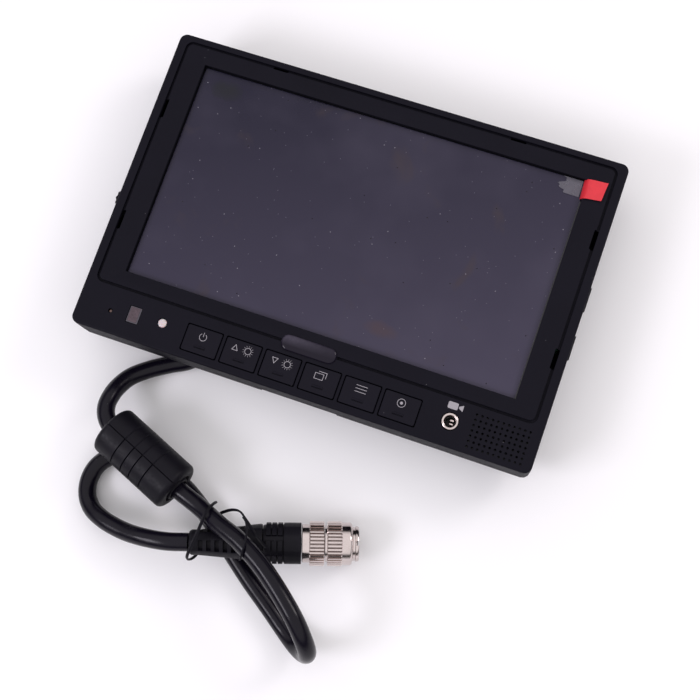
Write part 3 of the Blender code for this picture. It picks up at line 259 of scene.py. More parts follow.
def make_materials():
    """Every material of the model."""
    made = {}

    def add(key, *look, **sockets):
        made[key] = Surface(*look, **sockets)
        return made[key]

    surface = add("case", "case_black", (0.0048, 0.0043, 0.0085), 0.55, Specular_IOR_Level=0.09)
    surface.mottle(60, 0.35, 0.75, 1.3).specks(330, 0.06, 0.08, DUST, 0.3).rough(900, 0.48, 0.62)
    surface.bump(9000, 0.25, 0.00004, detail=1.0).bump(2600, 0.12, 0.00005)
    surface = add("key", "key_black", (0.0056, 0.0049, 0.0095), 0.5, Specular_IOR_Level=0.10)
    surface.mottle(120, 0.3).specks(500, 0.07, 0.08, DUST, 0.3).rough(1100, 0.42, 0.56)
    surface.bump(8000, 0.2, 0.00003, detail=1.0)
    surface = add("print", "legend_white", (0.30, 0.285, 0.31), 0.5)
    surface.mottle(1800, 0.5, 0.8, 1.1).rough(2400, 0.42, 0.6)
    surface = add("jacket", "cable_pvc", (0.0034, 0.0026, 0.0066), 0.25, Specular_IOR_Level=0.2)
    surface.mottle(70, 0.5, 0.7, 1.5).specks(450, 0.06, 0.06, DUST, 0.25).rough(240, 0.17, 0.30)
    surface.bump(420, 0.10, 0.0003, detail=4.0).bump(5000, 0.08, 0.00004)
    surface = add("mould", "moulded_black", (0.0046, 0.0041, 0.0073), 0.45, Specular_IOR_Level=0.13)
    surface.mottle(150, 0.45, 0.7, 1.4).specks(600, 0.06, 0.06, DUST, 0.3).rough(800, 0.38, 0.54)
    surface.bump(4200, 0.22, 0.00005, detail=4.0).bump(900, 0.1, 0.0001)
    film = add("film", "screen_film", (0.0095, 0.0082, 0.0215), 0.22, Specular_IOR_Level=0.2, Alpha=0.96)
    paint_screen_reflection_and_dirt(film)
    film.rough(45, 0.17, 0.26, detail=5.0).bump(26, 0.05, 0.0006, detail=2.0)
    surface = add("panel", "screen_glass", (0.006, 0.006, 0.008), 0.12)
    surface.mottle(80, 0.3).rough(200, 0.1, 0.16)
    surface = add("tape", "clear_tape", (0.105, 0.10, 0.125), 0.3, Alpha=0.72)
    surface.mottle(260, 0.5, 0.8, 1.3, detail=6.0).bump(500, 0.3, 0.0002, detail=5.0).rough(600, 0.2, 0.5)
    surface = add("red", "tab_red", (0.62, 0.024, 0.038), 0.38, Specular_IOR_Level=0.4)
    surface.mottle(420, 0.5, 0.82, 1.12, detail=4.0).bump(600, 0.2, 0.0001, detail=3.0)
    surface.rough(500, 0.3, 0.46)
    gloss = add("gloss", "lens_black", (0.006, 0.004, 0.011), 0.07, Specular_IOR_Level=0.2)
    # the lens colour carries a painted highlight along the bar's upper edge and left end
    paint_bar_highlight(gloss)
    gloss.rough(900, 0.05, 0.12).bump(700, 0.04, 0.0001)
    surface = add("smoke", "smoked_window", (0.066, 0.046, 0.056), 0.3, Specular_IOR_Level=0.3)
    surface.mottle(900, 0.7, 0.7, 1.5, detail=2.0).rough(1500, 0.22, 0.36)
    surface = add("rim", "window_rim", (0.060, 0.055, 0.068), 0.4, Specular_IOR_Level=0.3)
    surface.mottle(1200, 0.4).rough(1500, 0.3, 0.42)
    surface = add("milk", "lens_milk", (0.56, 0.48, 0.49), 0.25, Subsurface_Weight=0.2,
                  Subsurface_Scale=0.0006)
    surface.mottle(1500, 0.4, 0.85, 1.1).rough(1800, 0.18, 0.32)
    surface = add("brown", "pinhole_brown", (0.10, 0.055, 0.045), 0.3)
    surface.mottle(2500, 0.5).rough(2000, 0.2, 0.4)
    surface = add("nickel", "nickel", (0.60, 0.53, 0.51), 0.13, 1.0)
    surface.mottle(260, 0.45, 0.75, 1.12, detail=5.0).specks(900, 0.09, 0.10, (0.26, 0.21, 0.19), 0.5)
    surface.rough(700, 0.09, 0.2, detail=5.0).bump(3000, 0.08, 0.00003, detail=3.0)
    # painted shade for the floors of the knurl grooves
    surface = add("tarnish", "nickel_tarnish", (0.20, 0.165, 0.155), 0.3, 1.0)
    surface.mottle(400, 0.6, 0.4, 1.5).rough(900, 0.22, 0.4)
    surface = add("gold", "pin_gold", (0.80, 0.58, 0.26), 0.24, 1.0)
    surface.mottle(1600, 0.4).rough(1800, 0.18, 0.32)
    surface = add("steel", "plated_steel", (0.56, 0.56, 0.57), 0.36, 1.0)
    surface.mottle(140, 0.5, 0.75, 1.12, detail=5.0).rough(500, 0.28, 0.46, stretch=(1.0, 12.0, 1.0))
    surface.bump(900, 0.15, 0.00004, stretch=(1.0, 14.0, 1.0))
    surface = add("screw", "screw_zinc", (0.26, 0.26, 0.27), 0.34, 1.0)
    surface.mottle(900, 0.6, 0.6, 1.2).rough(1500, 0.25, 0.45)
    surface = add("insert", "insert_black", (0.018, 0.018, 0.02), 0.42)
    surface.mottle(900, 0.4).rough(1500, 0.36, 0.5).bump(5000, 0.15, 0.00004)
    surface = add("foam", "foam_black", (0.016, 0.016, 0.017), 0.95)
    surface.mottle(1500, 0.6).bump(3500, 0.6, 0.0002, detail=4.0)
    surface = add("white", "backlight_white", (0.74, 0.74, 0.72), 0.5)
    surface.mottle(200, 0.3, 0.9, 1.05).rough(600, 0.42, 0.56)
    surface = add("board", "board_green", (0.012, 0.10, 0.045), 0.42)
    surface.mottle(300, 0.6, 0.6, 1.5).specks(900, 0.12, 0.15, (0.55, 0.42, 0.16), 0.8)
    surface.rough(900, 0.34, 0.5).bump(1800, 0.2, 0.00006)
    surface = add("chip", "component_black", (0.02, 0.02, 0.021), 0.5)
    surface.mottle(700, 0.4).rough(1200, 0.42, 0.58).bump(5000, 0.2, 0.00004)
    surface = add("ferrite", "ferrite_grey", (0.06, 0.06, 0.064), 0.55)
    surface.mottle(900, 0.6).rough(1200, 0.45, 0.65).bump(3500, 0.35, 0.00008)
    return {name: item.mat for name, item in made.items()}


def paint_bar_highlight(gloss):
    """Lens with a painted highlight along its upper edge and its left end."""
    x, y = gloss.axes()
    up = gloss.remap(y, BAR[1] - 0.0012, BAR[1] + 0.0014, 0.0, 1.0)
    left = gloss.remap(x, BAR[0] + 0.0065, BAR[0] - 0.0065, 0.25, 1.0)
    streak = gloss.remap(gloss.noise(600, 2.0, distortion=0.6), 0.3, 0.7, 0.7, 1.0)
    # painted highlight: the mask clear is where the lens is lit, along its upper edge and left end
    clear = gloss.math("MULTIPLY", gloss.math("MULTIPLY", up, left), streak)
    gloss.mix_colour(clear, (0.046, 0.040, 0.060))


def paint_screen_reflection_and_dirt(film):
    """Film with a painted reflection that greys it towards the lower right, with faint smears, lint and
    dust.
    """
    x, y = film.axes()
    across = film.remap(x, -OPENING[0] / 2, OPENING[0] / 2, 0.0, 1.0)
    down = film.remap(y, SCREEN_Y + OPENING[1] / 2, SCREEN_Y - OPENING[1] / 2, 0.0, 1.0)
    # painted reflection: the film greys from upper left to lower right as the overhead light's reflection
    # would
    slope = film.math("ADD", film.math("MULTIPLY", across, 0.42), film.math("MULTIPLY", down, 0.58))
    film.mix_colour(slope, (0.047, 0.041, 0.069))
    film.mix_colour(film.remap(film.noise(22, 3.0), 0.46, 0.72, 0.0, 0.3), (0.062, 0.055, 0.085))
    smear = film.remap(film.noise(34, 4.0, distortion=1.5), 0.60, 0.74, 0.0, 0.4)
    film.mix_colour(smear, (0.048, 0.034, 0.034))
    smudge(film, (x, y), (-0.0665, 0.0445), (0.0085, 0.0050), (0.011, 0.012, 0.014))
    smudge(film, (x, y), (0.0225, -0.027), (0.0085, 0.004), (0.056, 0.038, 0.048))
    film.specks(240, 0.045, 0.035, (0.34, 0.33, 0.38), 0.6, flat=True)
    film.specks(900, 0.13, 0.012, (0.22, 0.21, 0.26), 0.5, flat=True)
    film.specks(120, 0.03, 0.16, (0.006, 0.005, 0.007), 0.8, flat=True)


def smudge(film, axes, centre, size, colour):
    """One soft oval mark on the film."""
    reach = None
    for axis, middle, half in zip(axes, centre, size):
        away = film.math("DIVIDE", film.math("SUBTRACT", axis, middle), half)
        square = film.math("MULTIPLY", away, away)
        reach = square if reach is None else film.math("ADD", reach, square)
    broken = film.math("ADD", reach, film.math("MULTIPLY", film.noise(260, 4.0), 0.9))
    film.mix_colour(film.remap(broken, 1.2, 0.5, 0.0, 0.75), colour)


M = make_materials()
SLOTS = {
    "case": "case_plastic", "key": "key_plastic", "jacket": "cable_jacket", "mould": "moulded_black",
    "film": "clear_film", "tape": "clear_film", "red": "tab_red", "gloss": "lens_black",
    "smoke": "smoked_window", "rim": "smoked_window", "brown": "smoked_window", "milk": "lens_milk",
    "nickel": "nickel", "gold": "pin_gold", "insert": "insert_black", "steel": "sheet_steel",
    "screw": "screw_steel",
}


# ------------------------------------------------------------------ mesh building

def finish_mesh(bm, name):
    """Mesh from a bmesh, with its normals outwards."""
    bmesh.ops.recalc_face_normals(bm, faces=bm.faces)
    mesh = bpy.data.meshes.new(name)
    bm.to_mesh(mesh)
    bm.free()
    return mesh


def add_object(name, data):
    """New object in the scene."""
    obj = bpy.data.objects.new(name, data)
    bpy.context.scene.collection.objects.link(obj)
    return obj


def final_mesh(obj, *others):
    """Mesh of an object with its modifiers or bevel applied. The objects are taken away."""
    bpy.context.view_layer.update()
    graph = bpy.context.evaluated_depsgraph_get()
    mesh = bpy.data.meshes.new_from_object(obj.evaluated_get(graph))
    for used in (obj, *others):
        bpy.data.objects.remove(used, do_unlink=True)
    return mesh


def piece(name, data, mat, replaces=None, body="monitor", smooth=38, weighted=True, slot=None):
    """Add a named piece that rides on a body. The slot argument is not used."""
    obj = add_object(name, data)
    data.materials.clear()
    data.materials.append(M[mat])
    if isinstance(data, bpy.types.Mesh) and smooth:
        data.shade_smooth()
        data.set_sharp_from_angle(angle=radians(smooth))
        if weighted:
            normals = obj.modifiers.new("normals", "WEIGHTED_NORMAL")
            normals.keep_sharp = True
    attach(obj, body)
    if replaces:
        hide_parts(replaces)
    slot = slot or SLOTS.get(mat)
    return obj


def quarter(steps):
    """Sine and cosine at even steps of a quarter turn."""
    return [(sin(pi / 2 * k / steps), cos(pi / 2 * k / steps)) for k in range(steps + 1)]


def ngon(centre, radius, sides, start=0.0):
    """Counter-clockwise regular polygon in the plan view."""
    return [(centre[0] + radius * cos(start + 2 * pi * i / sides),
             centre[1] + radius * sin(start + 2 * pi * i / sides)) for i in range(sides)]


def rounded(centre, size, radius, steps=4):
    """Counter-clockwise rectangle with round corners."""
    points = []
    radius = max(radius, 1e-5)
    for corner, (sx, sy) in enumerate(((1, 1), (-1, 1), (-1, -1), (1, -1))):
        middle = (centre[0] + sx * (size[0] / 2 - radius), centre[1] + sy * (size[1] / 2 - radius))
        for step in range(steps + 1):
            angle = pi / 2 * (corner + step / steps)
            points.append((middle[0] + radius * cos(angle), middle[1] + radius * sin(angle)))
    return points


def offset(loop, distance):
    """A counter-clockwise loop moved inwards by a distance."""
    result = []
    for i, point in enumerate(loop):
        before, here, after = Vector(loop[i - 1]), Vector(point), Vector(loop[(i + 1) % len(loop)])
        first, second = (here - before).normalized(), (after - here).normalized()
        first, second = Vector((-first.y, first.x)), Vector((-second.y, second.x))
        move = (first + second) * (distance / max(1 + first.dot(second), 0.2))
        result.append(tuple(here + move))
    return result


def ring_of(bm, loop, z):
    """Vertices of a plan-view loop at a height."""
    return [bm.verts.new((p[0], p[1], z)) for p in loop]


def edges_of(bm, ring):
    """The edges along a closed ring of vertices."""
    edges = []
    for a, b in zip(ring, ring[1:] + ring[:1]):
        edges.append(bm.edges.get((a, b)) or bm.edges.new((a, b)))
    return edges


def bridge(bm, first, second):
    """Quads between two rings with the same count."""
    count = len(first)
    for i in range(count):
        j = (i + 1) % count
        bm.faces.new((first[i], first[j], second[j], second[i]))


def fill(bm, rings):
    """Flat face between an outer ring and the holes in it."""
    edges = [edge for ring in rings for edge in edges_of(bm, ring)]
    bmesh.ops.triangle_fill(bm, use_beauty=True, use_dissolve=False, edges=edges)


def rim_levels(loop, grow, face, back, edge, steps=3):
    """Plan-view loops and heights down a rounded rim and its wall; grow is 1 outside, -1 in a hole."""
    side = 1 if face > back else -1
    levels = []
    for rise, run in quarter(steps) if edge > 0 else ():
        inset, drop = edge * (1 - rise), edge * (1 - run)
        levels.append((offset(loop, grow * inset), face - side * drop))
    if not levels:
        levels.append((loop, face))
    levels.append((loop, back))
    return levels


def add_wall(bm, levels):
    """Bridge the loops of some levels. Returns their rings."""
    rings = [ring_of(bm, loop, z) for loop, z in levels]
    for first, second in zip(rings, rings[1:]):
        bridge(bm, first, second)
    return rings


def plate(outer, holes, back, face, edge=0.0, steps=3):
    """Flat plate with a rounded rim on its face and in its holes."""
    bm = bmesh.new()
    walls = [add_wall(bm, rim_levels(outer, 1, face, back, edge, steps))]
    walls += [add_wall(bm, rim_levels(hole, -1, face, back, edge, steps)) for hole in holes]
    fill(bm, [wall[0] for wall in walls])
    fill(bm, [wall[-1] for wall in walls])
    return finish_mesh(bm, "plate")


def loft(loops, closed=False, caps=True):
    """Skin over loops of 3-D points. Closed joins the last loop to the first."""
    bm = bmesh.new()
    rings = [[bm.verts.new(p) for p in loop] for loop in loops]
    for first, second in zip(rings, rings[1:] + (rings[:1] if closed else [])):
        bridge(bm, first, second)
    if caps and not closed:
        bm.faces.new(rings[0])
        bm.faces.new(rings[-1])
    return finish_mesh(bm, "loft")


def soft_box(low, high, corner, edge, bottom=0.0, steps=4):
    """Block with round upright edges and rounded rims."""
    centre = ((low[0] + high[0]) / 2, (low[1] + high[1]) / 2)
    size = (high[0] - low[0], high[1] - low[1])
    levels = []
    for z, rim, way in ((low[2], bottom, 1), (high[2], edge, -1)):
        part = []
        if rim > 0:
            for rise, run in quarter(steps):
                part.append((rim * (1 - rise), z + way * rim * (1 - run)))
        else:
            part.append((0.0, z))
        levels += part if way > 0 else part[::-1]
    loops = [[(x, y, z) for x, y in rounded(centre, (size[0] - 2 * i, size[1] - 2 * i), corner - i, steps)]
             for i, z in levels]
    return loft(loops)


def block(x, y, w, h, low, high, corner, edge=0.0, steps=4):
    """Soft box about a middle, from half its width and height and its two levels."""
    return soft_box((x - w, y - h, low), (x + w, y + h, high), corner, edge, steps=steps)


def joined(*meshes):
    """One mesh from several."""
    bm = bmesh.new()
    for mesh in meshes:
        bm.from_mesh(mesh)
        bpy.data.meshes.remove(mesh)
    made = bpy.data.meshes.new("joined")
    bm.to_mesh(made)
    bm.free()
    return made


def moved(mesh, matrix):
    """The mesh, moved by a matrix."""
    mesh.transform(matrix)
    return mesh


def carved_by(mesh, cutter):
    """The mesh with another cut out of it."""
    target, tool = add_object("target", mesh), add_object("tool", cutter)
    modifier = target.modifiers.new("cut", "BOOLEAN")
    modifier.operation, modifier.solver, modifier.object = "DIFFERENCE", "EXACT", tool
    return final_mesh(target, tool)


def aim(start, end):
    """Matrix that takes the origin to start and +Z towards end."""
    return Matrix.Translation(start) @ (end - start).to_track_quat("Z", "Y").to_matrix().to_4x4()


def turned(profile, steps, matrix, closed=False):
    """Solid turned about local Z from (radius, height) points."""
    loops = [[(x, y, z) for x, y in ngon((0.0, 0.0), r, steps)] for r, z in profile]
    return moved(loft(loops, closed=closed), matrix)


def round_grid(heights, angles, radius_at, matrix, bore=None):
    """Round body whose radius is a function of height and angle, with a bore or flat ends."""
    loops = [[(radius_at(z, a) * cos(a), radius_at(z, a) * sin(a), z) for a in angles]
             for z in heights]
    if bore is None:
        return moved(loft(loops), matrix)
    for z in (heights[-1], heights[0]):
        loops.append([(bore * cos(a), bore * sin(a), z) for a in angles])
    return moved(loft(loops, closed=True), matrix)


def stroke(points, width, closed=False):
    """Outline, and the hole of a closed one, of a drawn line."""
    if closed:
        return offset(points, -width / 2), [offset(points, width / 2)]
    left, right = [], []
    for i, point in enumerate(points):
        here = Vector(point)
        before = (here - Vector(points[i - 1])).normalized() if i else None
        after = (Vector(points[i + 1]) - here).normalized() if i < len(points) - 1 else None
        first, second = before or after, after or before
        normal = Vector((-first.y, first.x)) + Vector((-second.y, second.x))
        side = normal * (width / 2 / max(normal.length_squared / 2, 0.3))
        along = Vector((0.0, 0.0))
        if before is None:
            along = -after * width * 0.35
        elif after is None:
            along = before * width * 0.35
        left.append(tuple(here + side + along))
        right.append(tuple(here - side + along))
    return right + left[::-1], []


def bezier(name, route, radius, resolution=10, bevel=8):
    """One open Bezier spline through a route, as a round wire."""
    knots = [Vector(p) for p in route]
    chords = [b - a for a, b in zip(knots, knots[1:])]
    turns = [chords[0].normalized()]
    turns += [(a.normalized() + b.normalized()).normalized() for a, b in zip(chords, chords[1:])]
    turns.append(chords[-1].normalized())
    curve = bpy.data.curves.new(name, "CURVE")
    curve.dimensions = "3D"
    curve.resolution_u = resolution
    curve.bevel_depth = radius
    curve.bevel_resolution = bevel
    curve.use_fill_caps = True
    spline = curve.splines.new("BEZIER")
    spline.bezier_points.add(len(knots) - 1)
    for i, (point, knot) in enumerate(zip(spline.bezier_points, knots)):
        before = chords[i - 1].length / 3 if i else chords[0].length / 3
        after = chords[i].length / 3 if i < len(chords) else chords[-1].length / 3
        point.handle_left_type = point.handle_right_type = "FREE"
        point.co = knot
        point.handle_left = knot - turns[i] * before
        point.handle_right = knot + turns[i] * after
    return curve


# ------------------------------------------------------------------ lead

def make_cable():
    """The cable as one round wire."""
    return piece("lead", bezier("lead", CABLE_ROUTE, CABLE_R), "jacket", "cable")


def half_ferrite(name, first, last, groove, replaced):
    """One half of the ferrite housing between two angles, with its four ring grooves."""
    length = (FERRITE_B - FERRITE_A).length
    r, bore, step, curve = 0.01, CABLE_R + 0.0007, 0.0061, 0.0021
    profile = [(bore, 0.0010), (step - 0.0001, 0.0010), (step + 0.0001, 0.0001), (step + 0.0004, 0.0)]
    profile += [(r - curve * (1 - rise), curve * (1 - run)) for rise, run in quarter(6)]
    for share in (0.28, 0.42, 0.54, 0.69):
        z = length * share
        profile += [(r, z - 0.00028), (r - groove * 0.7, z - 0.00016), (r - groove, z),
                    (r - groove * 0.7, z + 0.00016), (r, z + 0.00028)]
    profile += [(r - curve * (1 - rise), length - curve * (1 - run)) for rise, run in quarter(6)[::-1]]
    profile += [(step + 0.0004, length), (step + 0.0001, length - 0.0001), (step - 0.0001, length - 0.0010),
                (bore + 0.0009, length - 0.0010), (bore + 0.0007, length + 0.0003), (bore, length + 0.0004)]
    steps = 30
    seam = 0.012
    angles = [first + seam * 0.55] + [first + seam * 2 + (last - first - seam * 4) * i / steps
                                      for i in range(steps + 1)] + [last - seam * 0.55]
    loops = []
    for i, angle in enumerate(angles):
        dip = 0.00022 if i in (0, len(angles) - 1) else 0.0
        dipped = [(q - dip if q > 0.007 else q, z) for q, z in profile]
        loops.append([(q * cos(angle), q * sin(angle), z) for q, z in dipped])
    mesh = moved(loft(loops), aim(FERRITE_A, FERRITE_B))
    return piece(name, mesh, "mould", replaced, smooth=32)


def make_ferrite():
    """Both halves of the ferrite housing, and its two moulding pinholes."""
    seam = pi / 2 - 0.13
    left = half_ferrite("ferrite_left", seam, seam + pi, 0.00055, "ferrite_shell_left")
    right = half_ferrite("ferrite_right", seam - pi, seam, 0.00022, "ferrite_shell_right")
    length = (FERRITE_B - FERRITE_A).length
    place = aim(FERRITE_A, FERRITE_B)
    dots = []
    for share in (0.18, 0.76):
        spot = place @ Vector((0.00985 * cos(2.8), 0.00985 * sin(2.8), length * share))
        middle = place @ Vector((0.0, 0.0, length * share))
        profile = [(0.00042, 0.0), (0.00042, 0.0002), (0.0003, 0.00024), (0.0003, 0.0001)]
        dots.append(turned(profile, 14, aim(spot, spot + (spot - middle)), closed=True))
    marks = piece("ferrite_pinholes", joined(*dots), "insert", slot="moulded_black")
    return [left, right, marks]


def plug_frame():
    """Frame along the plug, from its boot to its nose."""
    return aim(PLUG_START, PLUG_END)


def facing():
    """Angle about the plug's axis that faces the camera."""
    local = plug_frame().to_3x3().inverted() @ VIEW_BACK
    return atan2(local.y, local.x)


def near_turn(angle, middle, step):
    """Turn from the nearest of the rows spaced a step apart, one of them at the middle."""
    return (angle - middle + step / 2) % step - step / 2


def make_boot():
    """Tapered boot with six slots on each of its four sides."""
    rows = [(0.0036 + 0.0031 * k, 0.0036 + 0.0031 * k + 0.0015) for k in range(6)]
    half, first = 0.40, facing() + 0.14
    heights = [0.0, 0.0001, 0.0004, 0.0009, 0.0016, 0.0019]
    for low, high in rows:
        heights += [low - 0.00012, low + 0.00002, (low + high) / 2, high - 0.00002, high + 0.00012]
    heights += [0.0222, 0.0240, BOOT_L - 0.0012, BOOT_L - 0.0006, BOOT_L - 0.0005, BOOT_L]
    turns = (-half - 0.03, -half, -half * 0.5, 0.0, half * 0.5, half, half + 0.03, half + 0.19, half + 0.57)
    angles = [pi / 2 * side + first + turn for side in range(4) for turn in turns]
    outline = ((0.0, 0.0042), (0.0009, 0.0048), (0.0019, 0.0048), (0.0022, 0.0047), (0.0125, 0.0056),
               (0.0200, 0.0063), (0.0240, 0.0069), (BOOT_L - 0.0006, 0.0072), (BOOT_L, 0.0070))

    def radius_at(z, angle):
        reach = outline[-1][1]
        for (z0, r0), (z1, r1) in zip(outline, outline[1:]):
            if z <= z1:
                reach = r0 + (r1 - r0) * (z - z0) / (z1 - z0)
                break
        inside = any(low <= z <= high for low, high in rows)
        if inside and abs(near_turn(angle, first, pi / 2)) <= half + 0.001:
            return reach - 0.0014
        return reach

    mesh = round_grid(heights, angles, radius_at, plug_frame(), bore=0.0037)
    return piece("plug_boot", mesh, "mould", "connector_boot", smooth=30)


def make_plug_body():
    """Moulded body with eight rows of three grip pads, and a smooth collar."""
    start, end = BOOT_L + GAP, BOOT_L + GAP + BODY_L
    low, high, rows, half = 0.0070, 0.0078, 8, 0.25
    first = facing()
    pads = [(end - 0.0070 - 0.0022 * k - 0.0017, end - 0.0070 - 0.0022 * k) for k in range(3)]
    heights = [start, start + 0.0003, start + 0.0008]
    for a, b in sorted(pads):
        heights += [a - 0.00015, a, (a + b) / 2, b, b + 0.00015]
    heights += [end - 0.0066, end - 0.0064, end - 0.0003, end - 0.0001, end]
    turns = (-half - 0.03, -half, 0.0, half, half + 0.03)
    angles = [2 * pi * row / rows + first + turn for row in range(rows) for turn in turns]

    def radius_at(z, angle):
        if z >= end - 0.0065:
            return high - (0.0003 if z > end - 0.00005 else 0.0)
        turn = near_turn(angle, first, 2 * pi / rows)
        if any(a <= z <= b for a, b in pads) and abs(turn) <= half + 0.001:
            return high
        return low - max(0.0, start + 0.0006 - z) * 0.6

    mesh = round_grid(heights, angles, radius_at, plug_frame(), bore=0.0050)
    return piece("plug_body", mesh, "mould", "connector_body", smooth=30)


def knurl(angle):
    """Depth of a flat-topped rib pattern at an angle."""
    turn = (angle * KNURL_TEETH / (2 * pi)) % 1.0
    return KNURL_D * min(1.0, max(0.0, 2.2 - abs(turn - 0.25) * 9))


# Angles that catch both sides of each rib
KNURL_ANGLES = [2 * pi * (tooth + step) / KNURL_TEETH
                for tooth in range(KNURL_TEETH) for step in KNURL_STEPS]


def knurl_radius(z, angle, low, high):
    """Radius of a knurled band between two heights, with chamfered ends."""
    edge = min(z - low, high - z)
    chamfer = max(0.0, 0.0003 - edge)
    return KNURL_R - max(chamfer, knurl(angle))


def knurl_heights(low, high):
    """Heights of a knurled band: both ends, their chamfers and the ribs."""
    return [low, low + 0.0001, low + 0.0003, high - 0.0003, high - 0.0001, high]


def paint_groove_shade(obj):
    """Give the floors of the knurl grooves a darker, duller nickel: painted shade in the grooves."""
    obj.data.materials.append(M["tarnish"])
    to_plug = plug_frame().inverted()
    for face in obj.data.polygons:
        centre = to_plug @ face.center
        reach = hypot(centre.x, centre.y)
        if SLEEVE_R - 0.0004 < reach < SLEEVE_R - 0.0001 and abs((to_plug.to_3x3() @ face.normal).z) < 0.3:
            face.material_index = 1
    return obj


def make_nut():
    """Plated clamp nut: a smooth ring and a knurled band."""
    low, high = METAL_Z + NUT_RING, METAL_Z + NUT_RING + NUT_BAND
    heights = [METAL_Z, METAL_Z + 0.0002, low - 0.0002, low - 0.0001] + knurl_heights(low, high)

    def radius_at(z, angle):
        if z < low:
            return NUT_RING_R - (0.0002 if z == METAL_Z else 0.0)
        return knurl_radius(z, angle, low, high)

    mesh = round_grid(heights, KNURL_ANGLES, radius_at, plug_frame(), bore=0.0058)
    return paint_groove_shade(piece("plug_nut", mesh, "nickel", "clamp_nut", smooth=30))


def make_sleeve():
    """Sliding sleeve: a knurled band, a smooth part and a rounded mouth."""
    band = SLEEVE_Z + SLEEVE_BAND
    heights = knurl_heights(SLEEVE_Z, band) + [band + 0.0001, band + 0.0003]
    heights += [SLEEVE_END - 0.0008 + 0.0008 * rise for rise, run in quarter(5)]

    def radius_at(z, angle):
        if z <= band:
            return knurl_radius(z, angle, SLEEVE_Z, band)
        past = max(0.0, (z - SLEEVE_END + 0.0008) / 0.0008)
        return SLEEVE_R - 0.0008 * (1 - sqrt(max(0.0, 1 - past * past)))

    mesh = round_grid(heights, KNURL_ANGLES, radius_at, plug_frame(), bore=0.0070)
    sleeve = piece("plug_sleeve", mesh, "nickel", "coupling_sleeve", "coupling_sleeve", smooth=30)
    return paint_groove_shade(sleeve)


def make_nose():
    """Nose shell with its stepped lip and keyway, the insert and the four pins."""
    back, end = METAL_Z + NUT_RING + NUT_BAND + GAP, PLUG_L
    lip = ((0.0069, 0.0026), (0.0067, 0.0024), (0.0064, 0.0022), (0.0063, 0.0014), (0.0066, 0.0012),
           (0.0066, 0.0005), (0.0064, 0.0001), (0.0062, 0.0), (0.0059, 0.0), (0.0057, 0.0003))
    profile = [(0.0069, back)] + [(r, end - below) for r, below in lip] + [(0.0057, back)]
    mesh = turned(profile, 56, Matrix.Identity(4), closed=True)
    key = soft_box((-0.0009, 0.0052, end - 0.0013), (0.0009, 0.0095, end + 0.001), 0.0001, 0.0)
    shell = piece("plug_nose", moved(carved_by(mesh, key), plug_frame()), "nickel",
                  "nose_shell", smooth=30)
    top = end - 0.0045
    profile = [(0.0055, back), (0.0055, top - 0.0003), (0.0052, top), (0.0016, top), (0.0013, top - 0.0004)]
    core = piece("plug_insert", turned(profile, 40, plug_frame()), "insert", "pin_insert", smooth=30)
    made = [shell, core]
    profile = [(0.0005, top + 0.0001), (0.0005, end - 0.0017), (0.00042, end - 0.0014),
               (0.00022, end - 0.0012)]
    for number in range(4):
        angle = pi / 4 + pi / 2 * number
        place = Matrix.Translation((0.0028 * cos(angle), 0.0028 * sin(angle), 0.0))
        pin = turned(profile, 16, plug_frame() @ place)
        made.append(piece(f"plug_pin_{number + 1}", pin, "gold", f"contact_pin_{number + 1}", smooth=40))
    return made


def tie_wire(route):
    """Flat strip with a round wire down its middle, along a route."""
    curve = bezier("tie", route, 0.0, resolution=8)
    section = bpy.data.curves.new("tie_section", "CURVE")
    section.dimensions = "2D"
    spline = section.splines.new("POLY")
    spline.points.add(len(TIE_SECTION) - 1)
    for target, (x, y) in zip(spline.points, TIE_SECTION):
        target.co = (x * MM, y * MM, 0.0, 1.0)
    spline.use_cyclic_u = True
    shape = add_object("tie_section", section)
    curve.bevel_mode = "OBJECT"
    curve.bevel_object = shape
    mesh = final_mesh(add_object("tie", curve), shape)
    bm = bmesh.new()
    bm.from_mesh(mesh)
    bmesh.ops.remove_doubles(bm, verts=bm.verts, dist=1e-6)
    return finish_mesh(bm, "tie")


def make_tie():
    """Twist tie with one short loose end."""
    mesh = joined(tie_wire(TIE_ROUTE), tie_wire(TIE_TAIL))
    return piece("cable_tie", mesh, "mould", "twist_tie")


LEAD = make_cable()
ON_LEAD = make_ferrite() + [make_boot(), make_plug_body(), make_nut(), make_sleeve()] + make_nose()
ON_LEAD.append(make_tie())


# ------------------------------------------------------------------ housing

def key_place(i):
    """Middle of a front key."""
    return KEY_FIRST_X + KEY_PITCH * i, KEY_Y


def groove_loop(inset):
    """The hood groove's middle line, moved inwards."""
    middle = (0.0, sum(GROOVE_Y) / 2)
    size = (GROOVE_X * 2 - 2 * inset, GROOVE_Y[1] - GROOVE_Y[0] - 2 * inset)
    return rounded(middle, size, GROOVE_R - inset, 6)


def strip_openings():
    """Outline and rim of each opening in the control strip."""
    made = []
    opening = (KEY_CAP[0] + 2 * GAP, KEY_CAP[1] + 2 * GAP)
    for i in range(6):
        made.append((rounded(key_place(i), opening, 0.0006, 3), 0.00012))
    made.append((rounded(IR_WINDOW, (IR_SIZE[0] + GAP, IR_SIZE[1] + GAP), 0.0003, 2), 0.0001))
    made.append((ngon(PINHOLE, 0.00085, 20), 0.0001))
    made.append((ngon(LENS, LENS_R + 0.0002, 32), 0.00012))
    made.append((ngon(JACK, 0.0034, 40), 0.00012))
    for column in range(11):
        for row in range(7):
            place = (GRILLE[0] + (column - 5) * GRILLE_PITCH, GRILLE[1] + (row - 3) * GRILLE_PITCH)
            made.append((ngon(place, 0.00046, 12), 0.00006))
    return made


